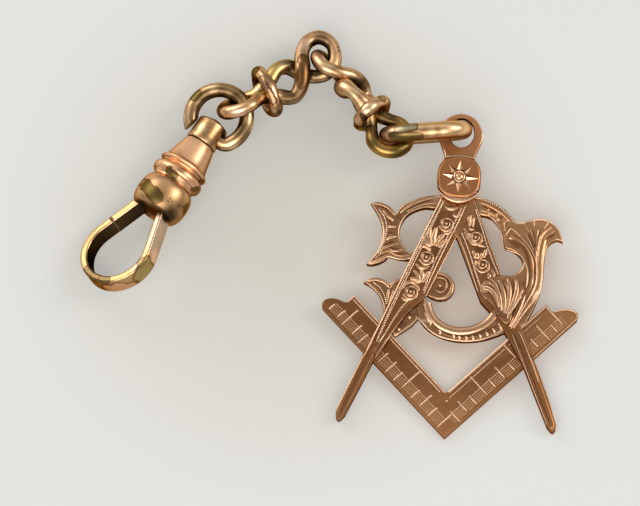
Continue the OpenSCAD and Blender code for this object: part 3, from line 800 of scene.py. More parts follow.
# Long and short strokes of the scale on each arm: (along, from, to)
LEFT_SCALE = [
    (14.4, 1.96, 3.2), (15.7, 2.3, 3.2), (13.45, 0.9, 3.4), (11.9, 1.7, 3.25), (10.7, 1.9, 3.45),
    (7.65, 1.75, 3.3), (6.25, 1.7, 3.45), (4.95, 2.05, 3.4), (3.72, 0.45, 3.35), (2.2, 2.0, 3.35),
    (0.88, 1.4, 3.3), (-0.57, 1.9, 3.35), (-2.2, 1.3, 3.35),
]
RIGHT_SCALE = [
    (-1.1, 1.85, 3.45), (0.27, 1.55, 3.1), (1.6, 1.9, 3.2), (3.17, 0.4, 3.2), (4.45, 1.95, 3.15),
    (5.9, 1.45, 3.05), (7.3, 2.05, 3.15), (8.35, 0.25, 2.2), (11.0, 1.75, 2.95), (12.5, 1.0, 3.25),
    (13.72, 2.0, 3.1), (14.75, 0.25, 2.85),
]
# Both scales, as (side, strokes, start and end of the fine lines)
SCALES = ((1, RIGHT_SCALE, -1.9, 15.3), (-1, LEFT_SCALE, -2.7, 15.2))
# The fine lines: (how far across the arm, half width)
SCALE_LINES = [(2.14, 0.05), (2.42, 0.03), (2.66, 0.03), (2.90, 0.03), (3.13, 0.03)]
TICK_WIDTH, NOTCH_WIDTH = 0.11, 0.13
# Painted glint along the rims and painted shade along the grooves: (side, start, end, half width)
RIMS = [
    (1, (0.2, -0.17), (ARM_LENGTH - 0.1, -0.17), 0.16),
    (-1, (0.1, -0.13), (ARM_LENGTH - 0.1, -0.13), 0.11),
    (-1, (0.5, -0.47), (ARM_LENGTH - 0.2, -0.47), 0.08),
    (1, (-0.2, -0.67), (8.1, -0.67), 0.05),
    (1, (8.7, -0.67), (13.4, -0.67), 0.05),
    (-1, (ARM_LENGTH, 0), (ARM_LENGTH, -1.05), 0.07),
    (1, (16.3, -3.5), (9.5, -3.58), 0.045),
]
GROOVES = [
    (-1, (0.4, -0.3), (ARM_LENGTH - 0.1, -0.3), 0.09),
    (1, (0.3, -0.4), (ARM_LENGTH - 0.1, -0.4), 0.06),
]
TIP_RIM = [(15.1, -1.25), (15.85, -1.7), (16.4, -2.2), (16.68, -2.8), (16.5, -3.3)]
RIM_NICK = [(-0.75, -0.62), (-0.5, -0.8)]


def ruled(rows):
    return [wide(on_arm([start, end], side), half_width) for side, start, end, half_width in rows]


def make_square():
    right, left = on_arm(ARM, 1), on_arm(ARM, -1)
    outline = right[1:] + [(0, -ARM_WIDTH * math.sqrt(2))] + left[:0:-1] + [(0, 0)]
    body = smooth(coated(plate("square", [outline], PLATE_BACK, SQUARE_TOP, 0.1, 2), FLAT_METAL), 30)
    ticks, notches, rules = [], [], []
    for side, scale, start, end in SCALES:
        for s, a, b in scale:
            ticks.append(graved(*on_arm([(s, -a), (s, -b)], side), TICK_WIDTH))
            # a dark notch of painted shade beside the start of each stroke
            notches.append(graved(*on_arm([(s - 0.22, -a - 0.1), (s + 0.12, -a + 0.16)], side), NOTCH_WIDTH))
        stops = sorted(s for s, _, _ in scale) + [end]
        for t, width in SCALE_LINES:
            # the fine lines stop short of each stroke and start again behind it
            rules += [(side, (s0 + 0.16, -t), (s1 - 0.08, -t), width)
                      for s0, s1 in zip([start] + stops, stops) if s1 - s0 > 0.5]
    # painted glint along the rims, on a nick and round the arm's tip
    rims = ruled(RIMS) + [graved(*on_arm(RIM_NICK, 1), 0.13), wide(on_arm(flow(TIP_RIM, 3), 1), 0.075)]
    square = joined(
        "square", body,
        ribs("scale_notches", notches, SQUARE_TOP - 0.01, 0.25, DARK_METAL),
        ribs("scale_lines", ruled(rules), SQUARE_TOP, 0.6, FINE_CUT, 6),
        ribs("scale_strokes", ticks, SQUARE_TOP, 0.5, PAINTED_GLINT_METAL),
        ribs("grooves", ruled(GROOVES), SQUARE_TOP, 0.2, DARK_METAL),
        ribs("rims", rims, SQUARE_TOP, 0.9, PAINTED_GLINT_METAL),
    )
    square.data.transform(SQUARE_CORNER)
    laid(square, PENDANT, "fob", "pendant")


make_square()

# Pendant: the pierced scrollwork

SCROLL_TOP, LEG_FIELD, LEG_TOP = 1.9, 2.05, 2.35
ARC_LEFT = joined_runs(
    [(-1.6, -2), (-2.6, -2.1), (-3.8, -2.3), (-5.3, -2.9), (-6.3, -3.6), (-6.8, -4.5)],
    [(-6.8, -4.5), (-7.2, -3.9), (-8, -3.4), (-8.9, -3.2), (-9.6, -3.4)],
    [(-9.6, -3.4), (-8.6, -4.9), (-8.2, -6.3), (-8.2, -7.7), (-8.7, -9), (-9.7, -10.4)],
    [(-9.7, -10.4), (-9.1, -10.45), (-8.3, -10.2), (-7.6, -9.75), (-7.25, -9.2)],
    [(-7.25, -9.2), (-6.4, -9.55), (-5.1, -9.65), (-4.2, -9.5)],
    [(-4.2, -8.9), (-5, -8.7), (-5.6, -8.2), (-6.1, -7.4), (-6.25, -6.3), (-6, -5.4), (-5.5, -4.6),
     (-4.7, -4), (-3.6, -3.6), (-2.7, -3.6), (-1.6, -3.7)],
)
LEAF = joined_runs(
    [(-4.8, -11.6), (-5.4, -11.6), (-6.1, -11.85), (-7, -12.5)],
    [(-7, -12.5), (-7.65, -12.1), (-8.5, -11.9), (-9.2, -12.05), (-9.9, -12.5)],
    [(-9.9, -12.5), (-9, -12.95), (-8.2, -13.7), (-7.7, -14.7), (-7.55, -15.9), (-7.7, -16.8)],
) + [(-6.5, -16.5)]
CURL = flow([(-2.2, -10.7), (-1.8, -10.8), (-1, -11.1), (-0.2, -11.65), (0.2, -12.4), (0, -13.2),
             (-0.6, -13.85), (-1.5, -14.05), (-2.4, -13.8), (-3, -13.4)])
WEB = [
    (-6.4, -18.1), (-6.1, -18.45), (-5.3, -17.9), (-4.3, -17.1), (-3.6, -16.25), (-2.9, -14.2),
    (-3.4, -13.4), (-5.4, -14.5),
]
RIGHT_MASS = joined_runs(
    [(1.6, -1.9), (2.1, -1.95), (3.25, -2.2), (4.6, -2.9), (5.8, -3.8), (6.5, -4.7)],
    [(6.5, -4.7), (7, -4.8), (7.5, -4.65), (8.4, -4.4), (9.4, -4.25), (10.3, -4.45), (11.1, -5.1),
     (11.65, -6), (11.85, -6.6)],
    [(11.85, -6.6), (11.15, -6.45), (10.4, -6.9), (10.1, -7.6), (9.95, -8.9), (9.8, -11.2), (9.45, -13.2),
     (8.6, -15.3), (7.8, -16.9), (6.95, -17.85)],
) + [(6.1, -17)] + flow(
    [(5.3, -16.35), (4.8, -15.45), (4.55, -14.85), (3.95, -14.3), (3.3, -13.95), (2.95, -13.4), (3.1, -12.9)]
) + [(3.1, -10), (1.2, -4)]
RIGHT_GAP = joined_runs(
    [(1.9, -4), (2.7, -4.1), (3.25, -4.15), (3.95, -4.45), (4.65, -5.2), (5.15, -6), (5.3, -6.9),
     (5.5, -7.7)],
    [(5.5, -7.7), (6.25, -7.9), (6.95, -8.3), (7.45, -8.95), (7.5, -9.65), (7.05, -10.35), (6.3, -10.85),
     (5.65, -10.95), (5.2, -10.85)],
) + [(4.5, -10.85)]
BOTTOM_ARC = flow(
    [(-4, -15), (-3.6, -16.2), (-3.1, -16.95), (-2.2, -17.7), (-1, -18.25), (0.3, -18.55), (1.55, -18.6),
     (3.2, -18.4), (4.5, -18), (5.6, -17.5), (6.8, -16.9)]
) + flow(
    [(6.8, -16), (4.8, -15.1), (4.6, -15.8), (3.8, -16.65), (2.5, -17.15), (1.15, -17.4), (0.05, -17.3),
     (-1.1, -16.85), (-2.05, -16.1), (-2.65, -15.1), (-2.95, -14.2), (-3.1, -13.5)]
)
# Flutes of the leaves, as (half width, points)
SCROLL_LEAVES = [
    (0.26, [(-2.37, -2.26), (-3.37, -2.53), (-4.44, -2.95), (-5.42, -3.58), (-6.31, -4.36)]),
    (0.14, [(-2.41, -2.99), (-3.49, -3.14), (-4.56, -3.53), (-5.54, -4.15)]),
    (0.26, [(-6.95, -5.37), (-7.36, -4.99), (-7.80, -4.69), (-8.27, -4.15)]),
    (0.22, [(-6.57, -6.00), (-7.15, -5.95), (-7.69, -6.06)]),
    (0.24, [(-6.50, -7.13), (-7.08, -7.16), (-7.73, -7.56)]),
    (0.22, [(-6.25, -7.92), (-6.87, -8.04), (-7.86, -8.51), (-8.29, -9.18)]),
    (0.20, [(-5.82, -8.55), (-6.52, -8.75), (-7.30, -8.67)]),
    (0.16, [(-5.09, -9.12), (-5.94, -9.28), (-6.73, -9.12), (-7.37, -8.80), (-8.13, -9.17), (-8.76, -9.66)]),
    (0.26, [(-5.06, -9.55), (-5.92, -9.61), (-6.71, -9.49), (-7.42, -9.37), (-8.55, -9.92),
            (-9.47, -10.27)]),
    (0.18, [(-9.33, -3.46), (-8.47, -3.49), (-7.67, -3.87), (-6.87, -4.64)]),
    (0.22, [(-9.42, -12.41), (-8.58, -12.15), (-7.70, -12.39), (-7.05, -12.96)]),
    (0.20, [(-7.04, -13.08), (-7.15, -13.81), (-7.24, -14.95)]),
    (0.18, [(-5.78, -11.92), (-6.46, -12.31), (-6.96, -13.07)]),
    (0.20, [(-6.49, -13.12), (-6.67, -13.95), (-7.01, -14.94)]),
    (0.24, [(-1.85, -11.03), (-0.98, -11.18), (-0.32, -11.78), (-0.12, -12.58), (-0.53, -13.50),
            (-1.45, -13.88), (-2.32, -13.69)]),
    (0.17, [(-2.18, -12.06), (-1.82, -11.55), (-1.11, -11.59), (-0.77, -12.14), (-0.88, -12.87),
            (-1.41, -13.15), (-1.97, -12.94)]),
    (0.22, [(2.38, -2.63), (3.37, -2.89), (4.25, -3.33), (5.14, -3.92), (5.81, -4.61)]),
    (0.17, [(2.47, -3.51), (3.25, -3.63), (4.05, -3.99), (4.71, -4.52)]),
    (0.16, [(3.54, -3.21), (3.34, -3.71), (3.68, -4.17)]),
    (0.16, [(4.58, -3.63), (4.30, -4.13), (4.64, -4.71)]),
    (0.14, [(5.57, -4.46), (5.21, -4.97), (5.41, -5.77)]),
]
# Horn: two broad bands, painted highlights along their edges and along the lines of its mouth, and painted
# shade in its hollows
HORN_BANDS = [
    (0.52, [(10.7, -5.3), (9.84, -6.14), (9.53, -7.44), (9.42, -9.15), (9.46, -10.75), (9.29, -12.10),
            (8.74, -13.31), (8.07, -14.47), (7.23, -15.80), (6.67, -16.79)]),
    (0.42, [(6.0, -6.4), (6.6, -6.7), (7.44, -7.24), (8.17, -8.27), (8.51, -9.42), (8.63, -10.80),
            (8.49, -11.99), (8.14, -13.07), (7.55, -14.39), (7.01, -15.60), (6.57, -16.80)]),
]
HORN_EDGES = [
    (0.12, [(7.76, -9.15), (8.11, -10.30), (8.13, -11.69), (8.02, -12.65)]),
    (0.12, [(8.02, -12.65), (7.74, -14.06), (7.30, -15.26), (6.67, -16.79)]),
    (0.09, [(7.08, -6.36), (7.95, -7.21), (8.69, -8.34), (9.02, -9.28), (9.14, -10.77), (9.02, -11.95),
            (8.56, -13.16), (8.05, -14.15), (7.14, -16.02), (6.58, -17.01)]),
    (0.11, [(9.90, -6.87), (9.80, -8.06), (9.72, -9.13), (9.72, -10.73), (9.60, -12.13), (9.40, -12.89),
            (8.90, -13.83), (8.28, -14.66), (7.58, -15.77), (6.87, -16.99)]),
    (0.08, [(8.16, -5.49), (8.63, -6.53), (8.90, -7.69), (9.04, -9.18)]),
    (0.07, [(7.67, -6.05), (8.13, -6.77), (8.65, -7.81)]),
    (0.07, [(9.08, -5.44), (8.99, -6.51), (9.06, -7.79)]),
    (0.08, [(9.86, -5.55), (9.33, -6.28), (9.14, -7.25), (9.11, -8.53)]),
    (0.06, [(8.54, -4.34), (8.57, -5.15)]),
    (0.06, [(10.15, -4.45), (9.74, -5.29)]),
    (0.07, [(5.99, -5.45), (6.53, -5.80), (7.12, -6.30)]),
    (0.06, [(7.45, -4.79), (7.79, -5.35), (8.02, -5.77)]),
    (0.09, [(5.55, -6.30), (5.71, -5.96), (6.04, -5.46)]),
    (0.08, [(6.52, -4.90), (6.97, -4.74), (7.49, -4.74), (7.98, -4.45), (8.79, -4.27), (9.61, -4.25),
            (10.34, -4.45), (10.95, -4.95), (11.4, -5.6), (11.7, -6.35)]),
]
HORN_SHADES = [
    (0.16, [(6.1, -6.75), (6.9, -7.1), (7.7, -7.85), (8.15, -8.9), (8.35, -10.2), (8.3, -11.6),
            (7.95, -12.9), (7.4, -14.2), (6.8, -15.7)]),
    (0.10, [(8.9, -9.4), (8.98, -10.8), (8.85, -11.95), (8.4, -13.1), (7.85, -14.2), (6.95, -16.0)]),
    (0.12, [(8.4, -5.5), (8.75, -6.6), (8.97, -7.9)]),
    (0.12, [(9.3, -5.5), (9.1, -6.4), (9.1, -7.4)]),
    (0.10, [(7.95, -5.9), (8.35, -6.7), (8.75, -7.7)]),
    (0.12, [(5.8, -6.75), (6.3, -7.2), (7.0, -7.55)]),
    (0.12, [(10.9, -5.9), (10.2, -6.2), (9.75, -6.7)]),
]
# Shell over the foot of the right leg: its outline, ribs, crests with painted highlights, and painted shade
# in its hollows
SHELL = [
    (2.90, -12.64), (2.96, -12.37), (3.38, -11.76), (3.88, -11.46), (4.73, -11.09), (5.49, -10.93),
    (6.51, -10.95), (7.05, -11.2), (7.40, -11.79), (7.96, -12.50), (7.69, -13.16), (7.11, -13.83),
    (6.7, -15.04), (6.5, -16.2), (5.9, -16.4), (5.38, -15.96), (4.83, -15.25), (4.58, -14.62),
    (4.03, -14.02), (3.39, -13.57), (3.03, -13.11),
]
SHELL_RIBS = [
    (0.30, [(3.2, -12.6), (3.9, -12.65), (4.6, -13.3), (5.2, -14.6)]),
    (0.32, [(3.85, -11.9), (4.6, -12.3), (5.15, -13.4), (5.45, -15.0)]),
    (0.32, [(4.9, -11.5), (5.35, -12.3), (5.7, -13.6), (5.75, -15.2)]),
    (0.34, [(5.95, -11.3), (6.2, -12.3), (6.2, -13.6), (5.95, -15.3)]),
    (0.32, [(7.0, -11.5), (7.05, -12.5), (6.75, -13.8), (6.2, -15.4)]),
    (0.24, [(7.7, -12.5), (7.2, -13.5), (6.5, -15.0), (6.15, -15.8)]),
]
SHELL_CRESTS = [
    (0.10, [(6.76, -11.40), (6.87, -12.35), (6.73, -13.43), (6.34, -14.73)]),
    (0.09, [(5.65, -11.78), (6.07, -12.72), (6.19, -13.89)]),
    (0.09, [(3.17, -12.41), (3.83, -12.37), (4.48, -12.81), (5.04, -13.64), (5.35, -14.58)]),
    (0.08, [(4.1, -11.5), (4.75, -12.1), (5.23, -13.30)]),
    (0.09, [(7.98, -12.93), (7.31, -13.71), (6.75, -14.71), (6.08, -15.60)]),
]
SHELL_SHADES = [
    (0.12, [(3.55, -12.2), (4.2, -12.45), (4.85, -13.2), (5.3, -14.6)]),
    (0.14, [(3.37, -13.20), (3.98, -13.16), (4.53, -13.67), (4.94, -14.50), (5.15, -15.44)]),
    (0.11, [(4.40, -11.75), (5.0, -12.5), (5.42, -13.6), (5.6, -15.0)]),
    (0.11, [(5.46, -11.4), (5.83, -12.30), (5.96, -13.6), (5.88, -15.0)]),
    (0.11, [(6.5, -11.4), (6.66, -12.4), (6.5, -13.7), (6.08, -15.2)]),
    (0.12, [(7.37, -11.8), (7.3, -12.8), (6.95, -13.9), (6.4, -15.2)]),
    (0.14, [(5.04, -15.34), (5.47, -15.74), (5.99, -15.82)]),
]
# Bottom arc: broad band, rail below it and the strokes between them, which carry painted glint
BOTTOM_BAND = [(-2.81, -14.53), (-2.44, -15.56), (-1.76, -16.49), (-0.78, -17.14), (0.65, -17.5),
               (2.20, -17.3), (3.56, -16.66), (4.52, -15.71), (4.82, -14.80)]
BOTTOM_LINE = [(-3.40, -16.51), (-2.48, -17.42), (-1.35, -18.09), (0.08, -18.44), (1.96, -18.5),
               (3.96, -18.06), (5.77, -17.01)]
BOTTOM_STROKES = [
    ((-2.98, -15.59), (-2.37, -16.69)), ((-2.24, -16.27), (-2.27, -17.09)),
    ((-1.24, -17.35), (-1.12, -18.02)), ((0.27, -17.75), (0.42, -18.39)), ((0.9, -17.87), (1.05, -18.51)),
    ((1.68, -17.9), (1.83, -18.56)), ((2.38, -17.78), (2.57, -18.45)), ((3.15, -17.57), (3.37, -18.21)),
    ((3.83, -17.29), (4.18, -17.92)), ((4.51, -16.85), (4.94, -17.47)), ((5.18, -16.24), (5.62, -17.1)),
    ((-4.68, -16.01), (-4.57, -16.49)), ((-5.84, -17.46), (-5.58, -17.85)),
]
# Painted highlights along the edges of the arc, the leaf and the curl, and painted shade in their hollows
SCROLL_EDGES = [
    (0.08, [(-1.8, -2.15), (-2.6, -2.25), (-3.8, -2.45), (-5.25, -3.0), (-6.2, -3.72), (-6.75, -4.55)]),
    (0.08, [(-6.85, -4.6), (-7.25, -4.05), (-8, -3.55), (-8.9, -3.35), (-9.5, -3.5)]),
    (0.12, [(-9.42, -3.6), (-8.5, -4.9), (-8.08, -6.3), (-8.08, -7.7), (-8.55, -9), (-9.5, -10.3)]),
    (0.10, [(-9.5, -10.35), (-9.1, -10.33), (-8.3, -10.05), (-7.65, -9.65), (-7.25, -9.08)]),
    (0.10, [(-7.2, -9.08), (-6.4, -9.42), (-5.2, -9.5), (-4.3, -9.4)]),
    (0.06, [(-4.3, -9.0), (-5.05, -8.82), (-5.7, -8.3), (-6.22, -7.45), (-6.38, -6.3), (-6.12, -5.35),
            (-5.6, -4.5), (-4.75, -3.88), (-3.6, -3.48), (-2.7, -3.48)]),
    (0.08, [(-4.9, -11.7), (-5.5, -11.72), (-6.15, -11.98), (-7, -12.62)]),
    (0.08, [(-7, -12.62), (-7.65, -12.22), (-8.5, -12.02), (-9.1, -12.15), (-9.75, -12.52)]),
    (0.10, [(-9.6, -12.6), (-8.9, -13.05), (-8.1, -13.78), (-7.6, -14.75), (-7.45, -15.9)]),
    (0.10, [(-2.2, -10.85), (-1.8, -10.92), (-1.05, -11.22), (-0.32, -11.75), (0.08, -12.4)]),
    (0.16, [(0.06, -12.5), (-0.12, -13.12), (-0.62, -13.7), (-1.4, -13.9), (-2.1, -13.8)]),
    (0.09, [(1.8, -2.1), (2.5, -2.15), (3.25, -2.35), (4.5, -3.02), (5.7, -3.9), (6.4, -4.75)]),
    (0.06, [(2.0, -3.9), (2.7, -3.95), (3.25, -4.02), (3.85, -4.33), (4.5, -5.1), (5.0, -5.95), (5.15, -6.9),
            (5.35, -7.75)]),
    (0.08, [(5.6, -7.85), (6.3, -8.05), (7.05, -8.3), (7.62, -8.9), (7.68, -9.7), (7.2, -10.45)]),
    (0.07, [(7.1, -10.5), (6.35, -10.98), (5.7, -11.08)]),
    (0.08, [(-6.3, -18.0), (-5.9, -18.2), (-5.2, -17.7), (-4.3, -16.95), (-3.7, -16.2)]),
    (0.09, [(-4.0, -16.0), (-3.3, -16.6), (-2.6, -17.25)]),
]
SCROLL_SHADES = [
    (0.12, [(-2.6, -2.75), (-3.6, -2.9), (-4.6, -3.35), (-5.4, -3.95)]),
    (0.14, [(-7.1, -5.7), (-7.5, -5.45), (-7.85, -5.25)]),
    (0.16, [(-6.9, -6.7), (-7.4, -6.75), (-7.9, -7.0)]),
    (0.16, [(-6.75, -7.65), (-7.3, -7.85), (-7.95, -8.2)]),
    (0.12, [(-6.2, -8.4), (-6.9, -8.5), (-7.5, -8.4)]),
    (0.12, [(-5.4, -9.0), (-6.2, -9.12), (-6.9, -8.98)]),
    (0.12, [(-6.0, -5.2), (-6.5, -4.95), (-6.75, -5.1)]),
    (0.10, [(-8.9, -3.85), (-8.0, -3.95), (-7.25, -4.7)]),
    (0.14, [(-1.9, -11.4), (-1.15, -11.45), (-0.6, -12.1), (-0.65, -12.9), (-1.2, -13.35)]),
    (0.12, [(-6.6, -12.6), (-7.0, -13.4), (-7.25, -14.5)]),
    (0.12, [(2.6, -3.05), (3.4, -3.3), (4.3, -3.75), (5.0, -4.5)]),
    (0.10, [(3.2, -2.75), (3.05, -3.2)]),
    (0.10, [(4.2, -3.15), (3.95, -3.65)]),
    (0.10, [(5.2, -3.85), (4.85, -4.4)]),
    (0.26, [(-2.9, -15.2), (-2.4, -16.4), (-1.5, -17.3), (-0.3, -17.85), (1.2, -18.05), (2.7, -17.85),
            (4.2, -17.2), (5.3, -16.3)]),
    (0.14, [(-4.8, -15.2), (-4.3, -16.2), (-3.7, -15.2)]),
    (0.14, [(-6.0, -17.5), (-5.0, -16.7), (-4.0, -15.6)]),
]


def make_scrollwork():
    plates = [
        plate("arc_left", [ARC_LEFT], PLATE_BACK, SCROLL_TOP, PLATE_EDGE),
        plate("leaf", [LEAF], PLATE_BACK, SCROLL_TOP, PLATE_EDGE),
        plate("curl", [CURL], PLATE_BACK, SCROLL_TOP - 0.1, PLATE_EDGE),
        plate("web", [WEB], PLATE_BACK, SQUARE_TOP + 0.05, 0.1),
        plate("mass_right", [RIGHT_MASS, RIGHT_GAP], PLATE_BACK, SCROLL_TOP, PLATE_EDGE),
        plate("arc_bottom", [BOTTOM_ARC], PLATE_BACK, SCROLL_TOP - 0.05, PLATE_EDGE),
        plate("shell", [flow(SHELL, 3, closed=True)], 1.7, LEG_TOP - 0.05, 0.12),
    ]
    for part in plates:
        smooth(coated(part, RELIEF_METAL), 30)
    leaves = [
        fluted("scroll_leaves", SCROLL_LEAVES, SCROLL_TOP, 0.8, RELIEF_METAL, sides=10),
        fluted("scroll_shades", SCROLL_SHADES, SCROLL_TOP, 0.25, DARK_METAL),
        fluted("scroll_edges", SCROLL_EDGES, SCROLL_TOP - 0.03, 0.9, PAINTED_GLINT_METAL, 0.5),
    ]
    bands = [tapered(points, width, 0.6) for width, points in HORN_BANDS]
    horn = [
        ribs("horn_bands", bands, SCROLL_TOP, 0.7, RELIEF_METAL, 14),
        fluted("horn_shades", HORN_SHADES, SCROLL_TOP + 0.28, 0.3, DARK_METAL, 0.4),
        fluted("horn_edges", HORN_EDGES, SCROLL_TOP + 0.24, 0.8, PAINTED_GLINT_METAL, 0.5),
    ]
    # the horn climbs from its mouth to its foot, which lies over the leg
    for part in horn:
        climb(part, 0.35, -10, 3)
    shell = [
        fluted("shell_ribs", SHELL_RIBS, LEG_TOP - 0.05, 0.8, RELIEF_METAL, 0.4, 10),
        fluted("shell_shades", SHELL_SHADES, LEG_TOP, 0.5, DARK_METAL, 0.4),
        fluted("shell_crests", SHELL_CRESTS, LEG_TOP + 0.1, 0.7, PAINTED_GLINT_METAL, 0.4),
    ]
    strokes = [swell([a, b], 0.17, steps=3) for a, b in BOTTOM_STROKES]
    bottom = [
        ribs("bottom_band", [even(BOTTOM_BAND, 0.5)], SCROLL_TOP - 0.08, 0.5, BAND_METAL, 14),
        ribs("bottom_rail", [even(BOTTOM_LINE, 0.13)], SCROLL_TOP - 0.08, 0.8, BAND_METAL),
        ribs("bottom_strokes", strokes, SCROLL_TOP - 0.02, 0.7, PAINTED_GLINT_METAL),
    ]
    laid(joined("scrollwork", *plates, *leaves, *horn, *shell, *bottom), PENDANT, "fob", "pendant")


make_scrollwork()

# Pendant: the compasses

# Right leg with its plain foot; the left one mirrors both
LEG = [
    (0, -1.5), (1.5, -1.5), (2, -2.7), (5.35, -10.95), (9.6, -21), (11.05, -24.6), (12.1, -27.4),
    (12.05, -28), (11.8, -28.35), (11.5, -28.2), (11.1, -27.75), (9.7, -24.6), (8.15, -21), (6.6, -18.4),
    (5.75, -17.1), (4.7, -15.6), (3.1, -14), (1.85, -11), (0.1, -6.85), (0, -6.85),
]
LOWER_LEG = [
    (7.3, -19), (8.7, -19.2), (9.4, -20.6), (11.0, -24.6), (12.02, -27.4), (11.95, -28.0), (11.75, -28.25),
    (11.2, -27.8), (9.8, -24.6), (8.3, -21),
]
# Bevel along the left leg's inner side
FACET = [
    (-3.0, -13.6), (-3.3, -14.2), (-4.6, -15.5), (-5.8, -17.1), (-6.6, -18.4), (-7.95, -21), (-8.3, -20.6),
    (-7.9, -19.3), (-6.85, -17.3), (-5.99, -15.9), (-4.98, -14.75), (-3.94, -14.0),
]
# Shaded ground of the legs, and the leaves on it, as (half width, points)
LEG_HOLLOWS = [
    (0.95, [(-1.9, -4.6), (-3.1, -8.4), (-4.6, -12.6), (-5.3, -13.6)]),
    (0.8, [(-0.3, -4.2), (-1.6, -7.4), (-3.2, -11.2)]),
    (0.85, [(1.75, -4.8), (2.6, -7.2), (3.7, -10.4)]),
]
LEFT_LEAVES = [
    (0.17, [(-1.44, -3.43), (-0.65, -3.61), (0.11, -3.37)]),
    (0.15, [(-0.53, -4.30), (0.02, -4.43), (0.34, -4.09)]),
    (0.15, [(-0.42, -6.16), (-0.95, -6.43), (-1.43, -6.30)]),
    (0.20, [(-2.65, -8.07), (-3.22, -7.62), (-3.61, -6.92)]),
    (0.20, [(-2.58, -7.99), (-2.95, -6.96), (-2.86, -5.82)]),
    (0.20, [(-2.42, -7.98), (-2.41, -6.85), (-2.16, -5.78)]),
    (0.20, [(-2.18, -8.05), (-1.77, -7.13), (-1.26, -6.45)]),
    (0.18, [(-1.95, -8.11), (-1.35, -7.59), (-0.99, -7.08)]),
    (0.13, [(-1.51, -8.17), (-1.38, -7.67), (-1.48, -7.23)]),
    (0.17, [(-4.04, -8.40), (-3.67, -8.05), (-3.11, -8.18), (-2.70, -8.56)]),
    (0.18, [(-4.25, -10.11), (-3.83, -10.50), (-3.29, -10.54), (-2.75, -10.27)]),
    (0.17, [(-3.72, -12.35), (-4.30, -11.90), (-4.81, -11.96)]),
    (0.18, [(-3.65, -12.27), (-4.02, -11.40), (-4.44, -10.86)]),
    (0.18, [(-3.54, -12.26), (-3.47, -11.37), (-3.59, -10.72)]),
    (0.18, [(-3.42, -12.25), (-2.99, -11.50), (-2.72, -10.83)]),
    (0.12, [(-3.07, -12.31), (-2.97, -11.98), (-3.07, -11.50)]),
    (0.15, [(-5.56, -13.03), (-5.12, -12.44), (-4.59, -12.24), (-4.02, -12.61), (-3.75, -13.16)]),
    (0.15, [(-5.65, -14.09), (-5.17, -14.30), (-4.40, -14.10), (-3.89, -13.58)]),
]
RIGHT_LEAVES = [
    (0.16, [(1.54, -4.18), (1.37, -4.76), (1.46, -5.48)]),
    (0.14, [(1.92, -4.40), (1.77, -4.98), (1.84, -5.54)]),
    (0.12, [(1.34, -5.65), (1.59, -5.80), (2.01, -5.82)]),
    (0.17, [(0.85, -5.79), (1.31, -6.41), (1.82, -7.13), (2.52, -7.52), (3.31, -7.72)]),
    (0.12, [(0.98, -6.08), (1.22, -6.74), (1.59, -7.17)]),
    (0.15, [(1.96, -8.21), (2.12, -8.68), (2.33, -9.16)]),
    (0.15, [(2.52, -8.41), (2.50, -8.82), (2.62, -9.22)]),
    (0.15, [(3.10, -8.38), (2.94, -8.80), (2.84, -9.21)]),
    (0.14, [(3.43, -7.96), (3.31, -8.53), (3.26, -9.02)]),
    (0.16, [(3.75, -10.69), (3.93, -11.09), (3.72, -11.39)]),
    (0.13, [(4.12, -10.26), (4.38, -10.74), (4.48, -11.13)]),
]
FLUTE_SHARE, CREST_SHARE = 1.75, 0.4
# Scrolls with a ball in the eye: middle, and the angle at which the line starts
VOLUTES = [(-1.14, -5.37, 200), (-3.12, -9.33, 200), (-4.65, -13.39, 200), (2.19, -6.74, 150),
           (3.12, -9.84, 150)]
LONE_BALL = (-1.45, -12.52)
VOLUTE_SIZE, VOLUTE_SWEEP, VOLUTE_BALL = 0.84, 470, 0.24
# Bright crescents of painted highlight round each scroll: (radius, start, end, half width)
CRESCENTS = ((0.86, 200, 340, 0.13), (0.4, 130, 400, 0.09))
# Painted highlights along the edges of the legs and the plain parts below, and painted shade in their
# hollows, as (half width, points)
LEG_EDGES = [
    (0.09, [(-1.75, -2.35), (-2.1, -3.1), (-5.35, -11.0), (-8.55, -19.0), (-9.3, -20.9)]),
    (0.06, [(-1.45, -2.6), (-2.5, -5.2), (-4.0, -8.9), (-5.3, -12.1), (-6.6, -15.4), (-7.8, -18.6)]),
    (0.08, [(0.9, -3.1), (0.2, -5.0), (-0.75, -7.2), (-1.85, -9.9), (-2.75, -12.3), (-3.2, -13.5)]),
    (0.06, [(0.0, -6.9), (-1.75, -10.95), (-3.0, -13.9)]),
    (0.07, [(1.8, -2.6), (2.35, -3.9), (3.5, -6.7), (4.6, -9.4), (5.2, -10.9)]),
    (0.10, [(0.3, -6.75), (1.2, -8.85), (2.0, -11.0), (2.75, -12.9)]),
    (0.06, [(0.75, -6.6), (1.65, -8.75), (2.5, -10.9), (3.1, -12.5)]),
    (0.07, [(6.8, -17.6), (8.2, -20.9), (9.7, -24.4), (11.1, -27.6)]),
    (0.09, [(7.5, -17.2), (8.0, -18.2), (9.2, -21.0), (9.9, -22.8)]),
    (0.05, [(9.55, -20.8), (11.0, -24.4), (12.0, -27.3)]),
    (0.07, [(-9.45, -21.0), (-11.0, -24.7), (-12.0, -27.2)]),
    (0.05, [(-8.6, -20.6), (-9.6, -23.0), (-10.6, -25.4)]),
    (0.07, [(-5.0, -14.85), (-6.0, -16.15), (-6.9, -17.6), (-8.1, -20.2)]),
    (0.06, [(-3.4, -14.25), (-4.7, -15.55), (-5.85, -17.15), (-6.7, -18.6), (-8.1, -21.1)]),
]
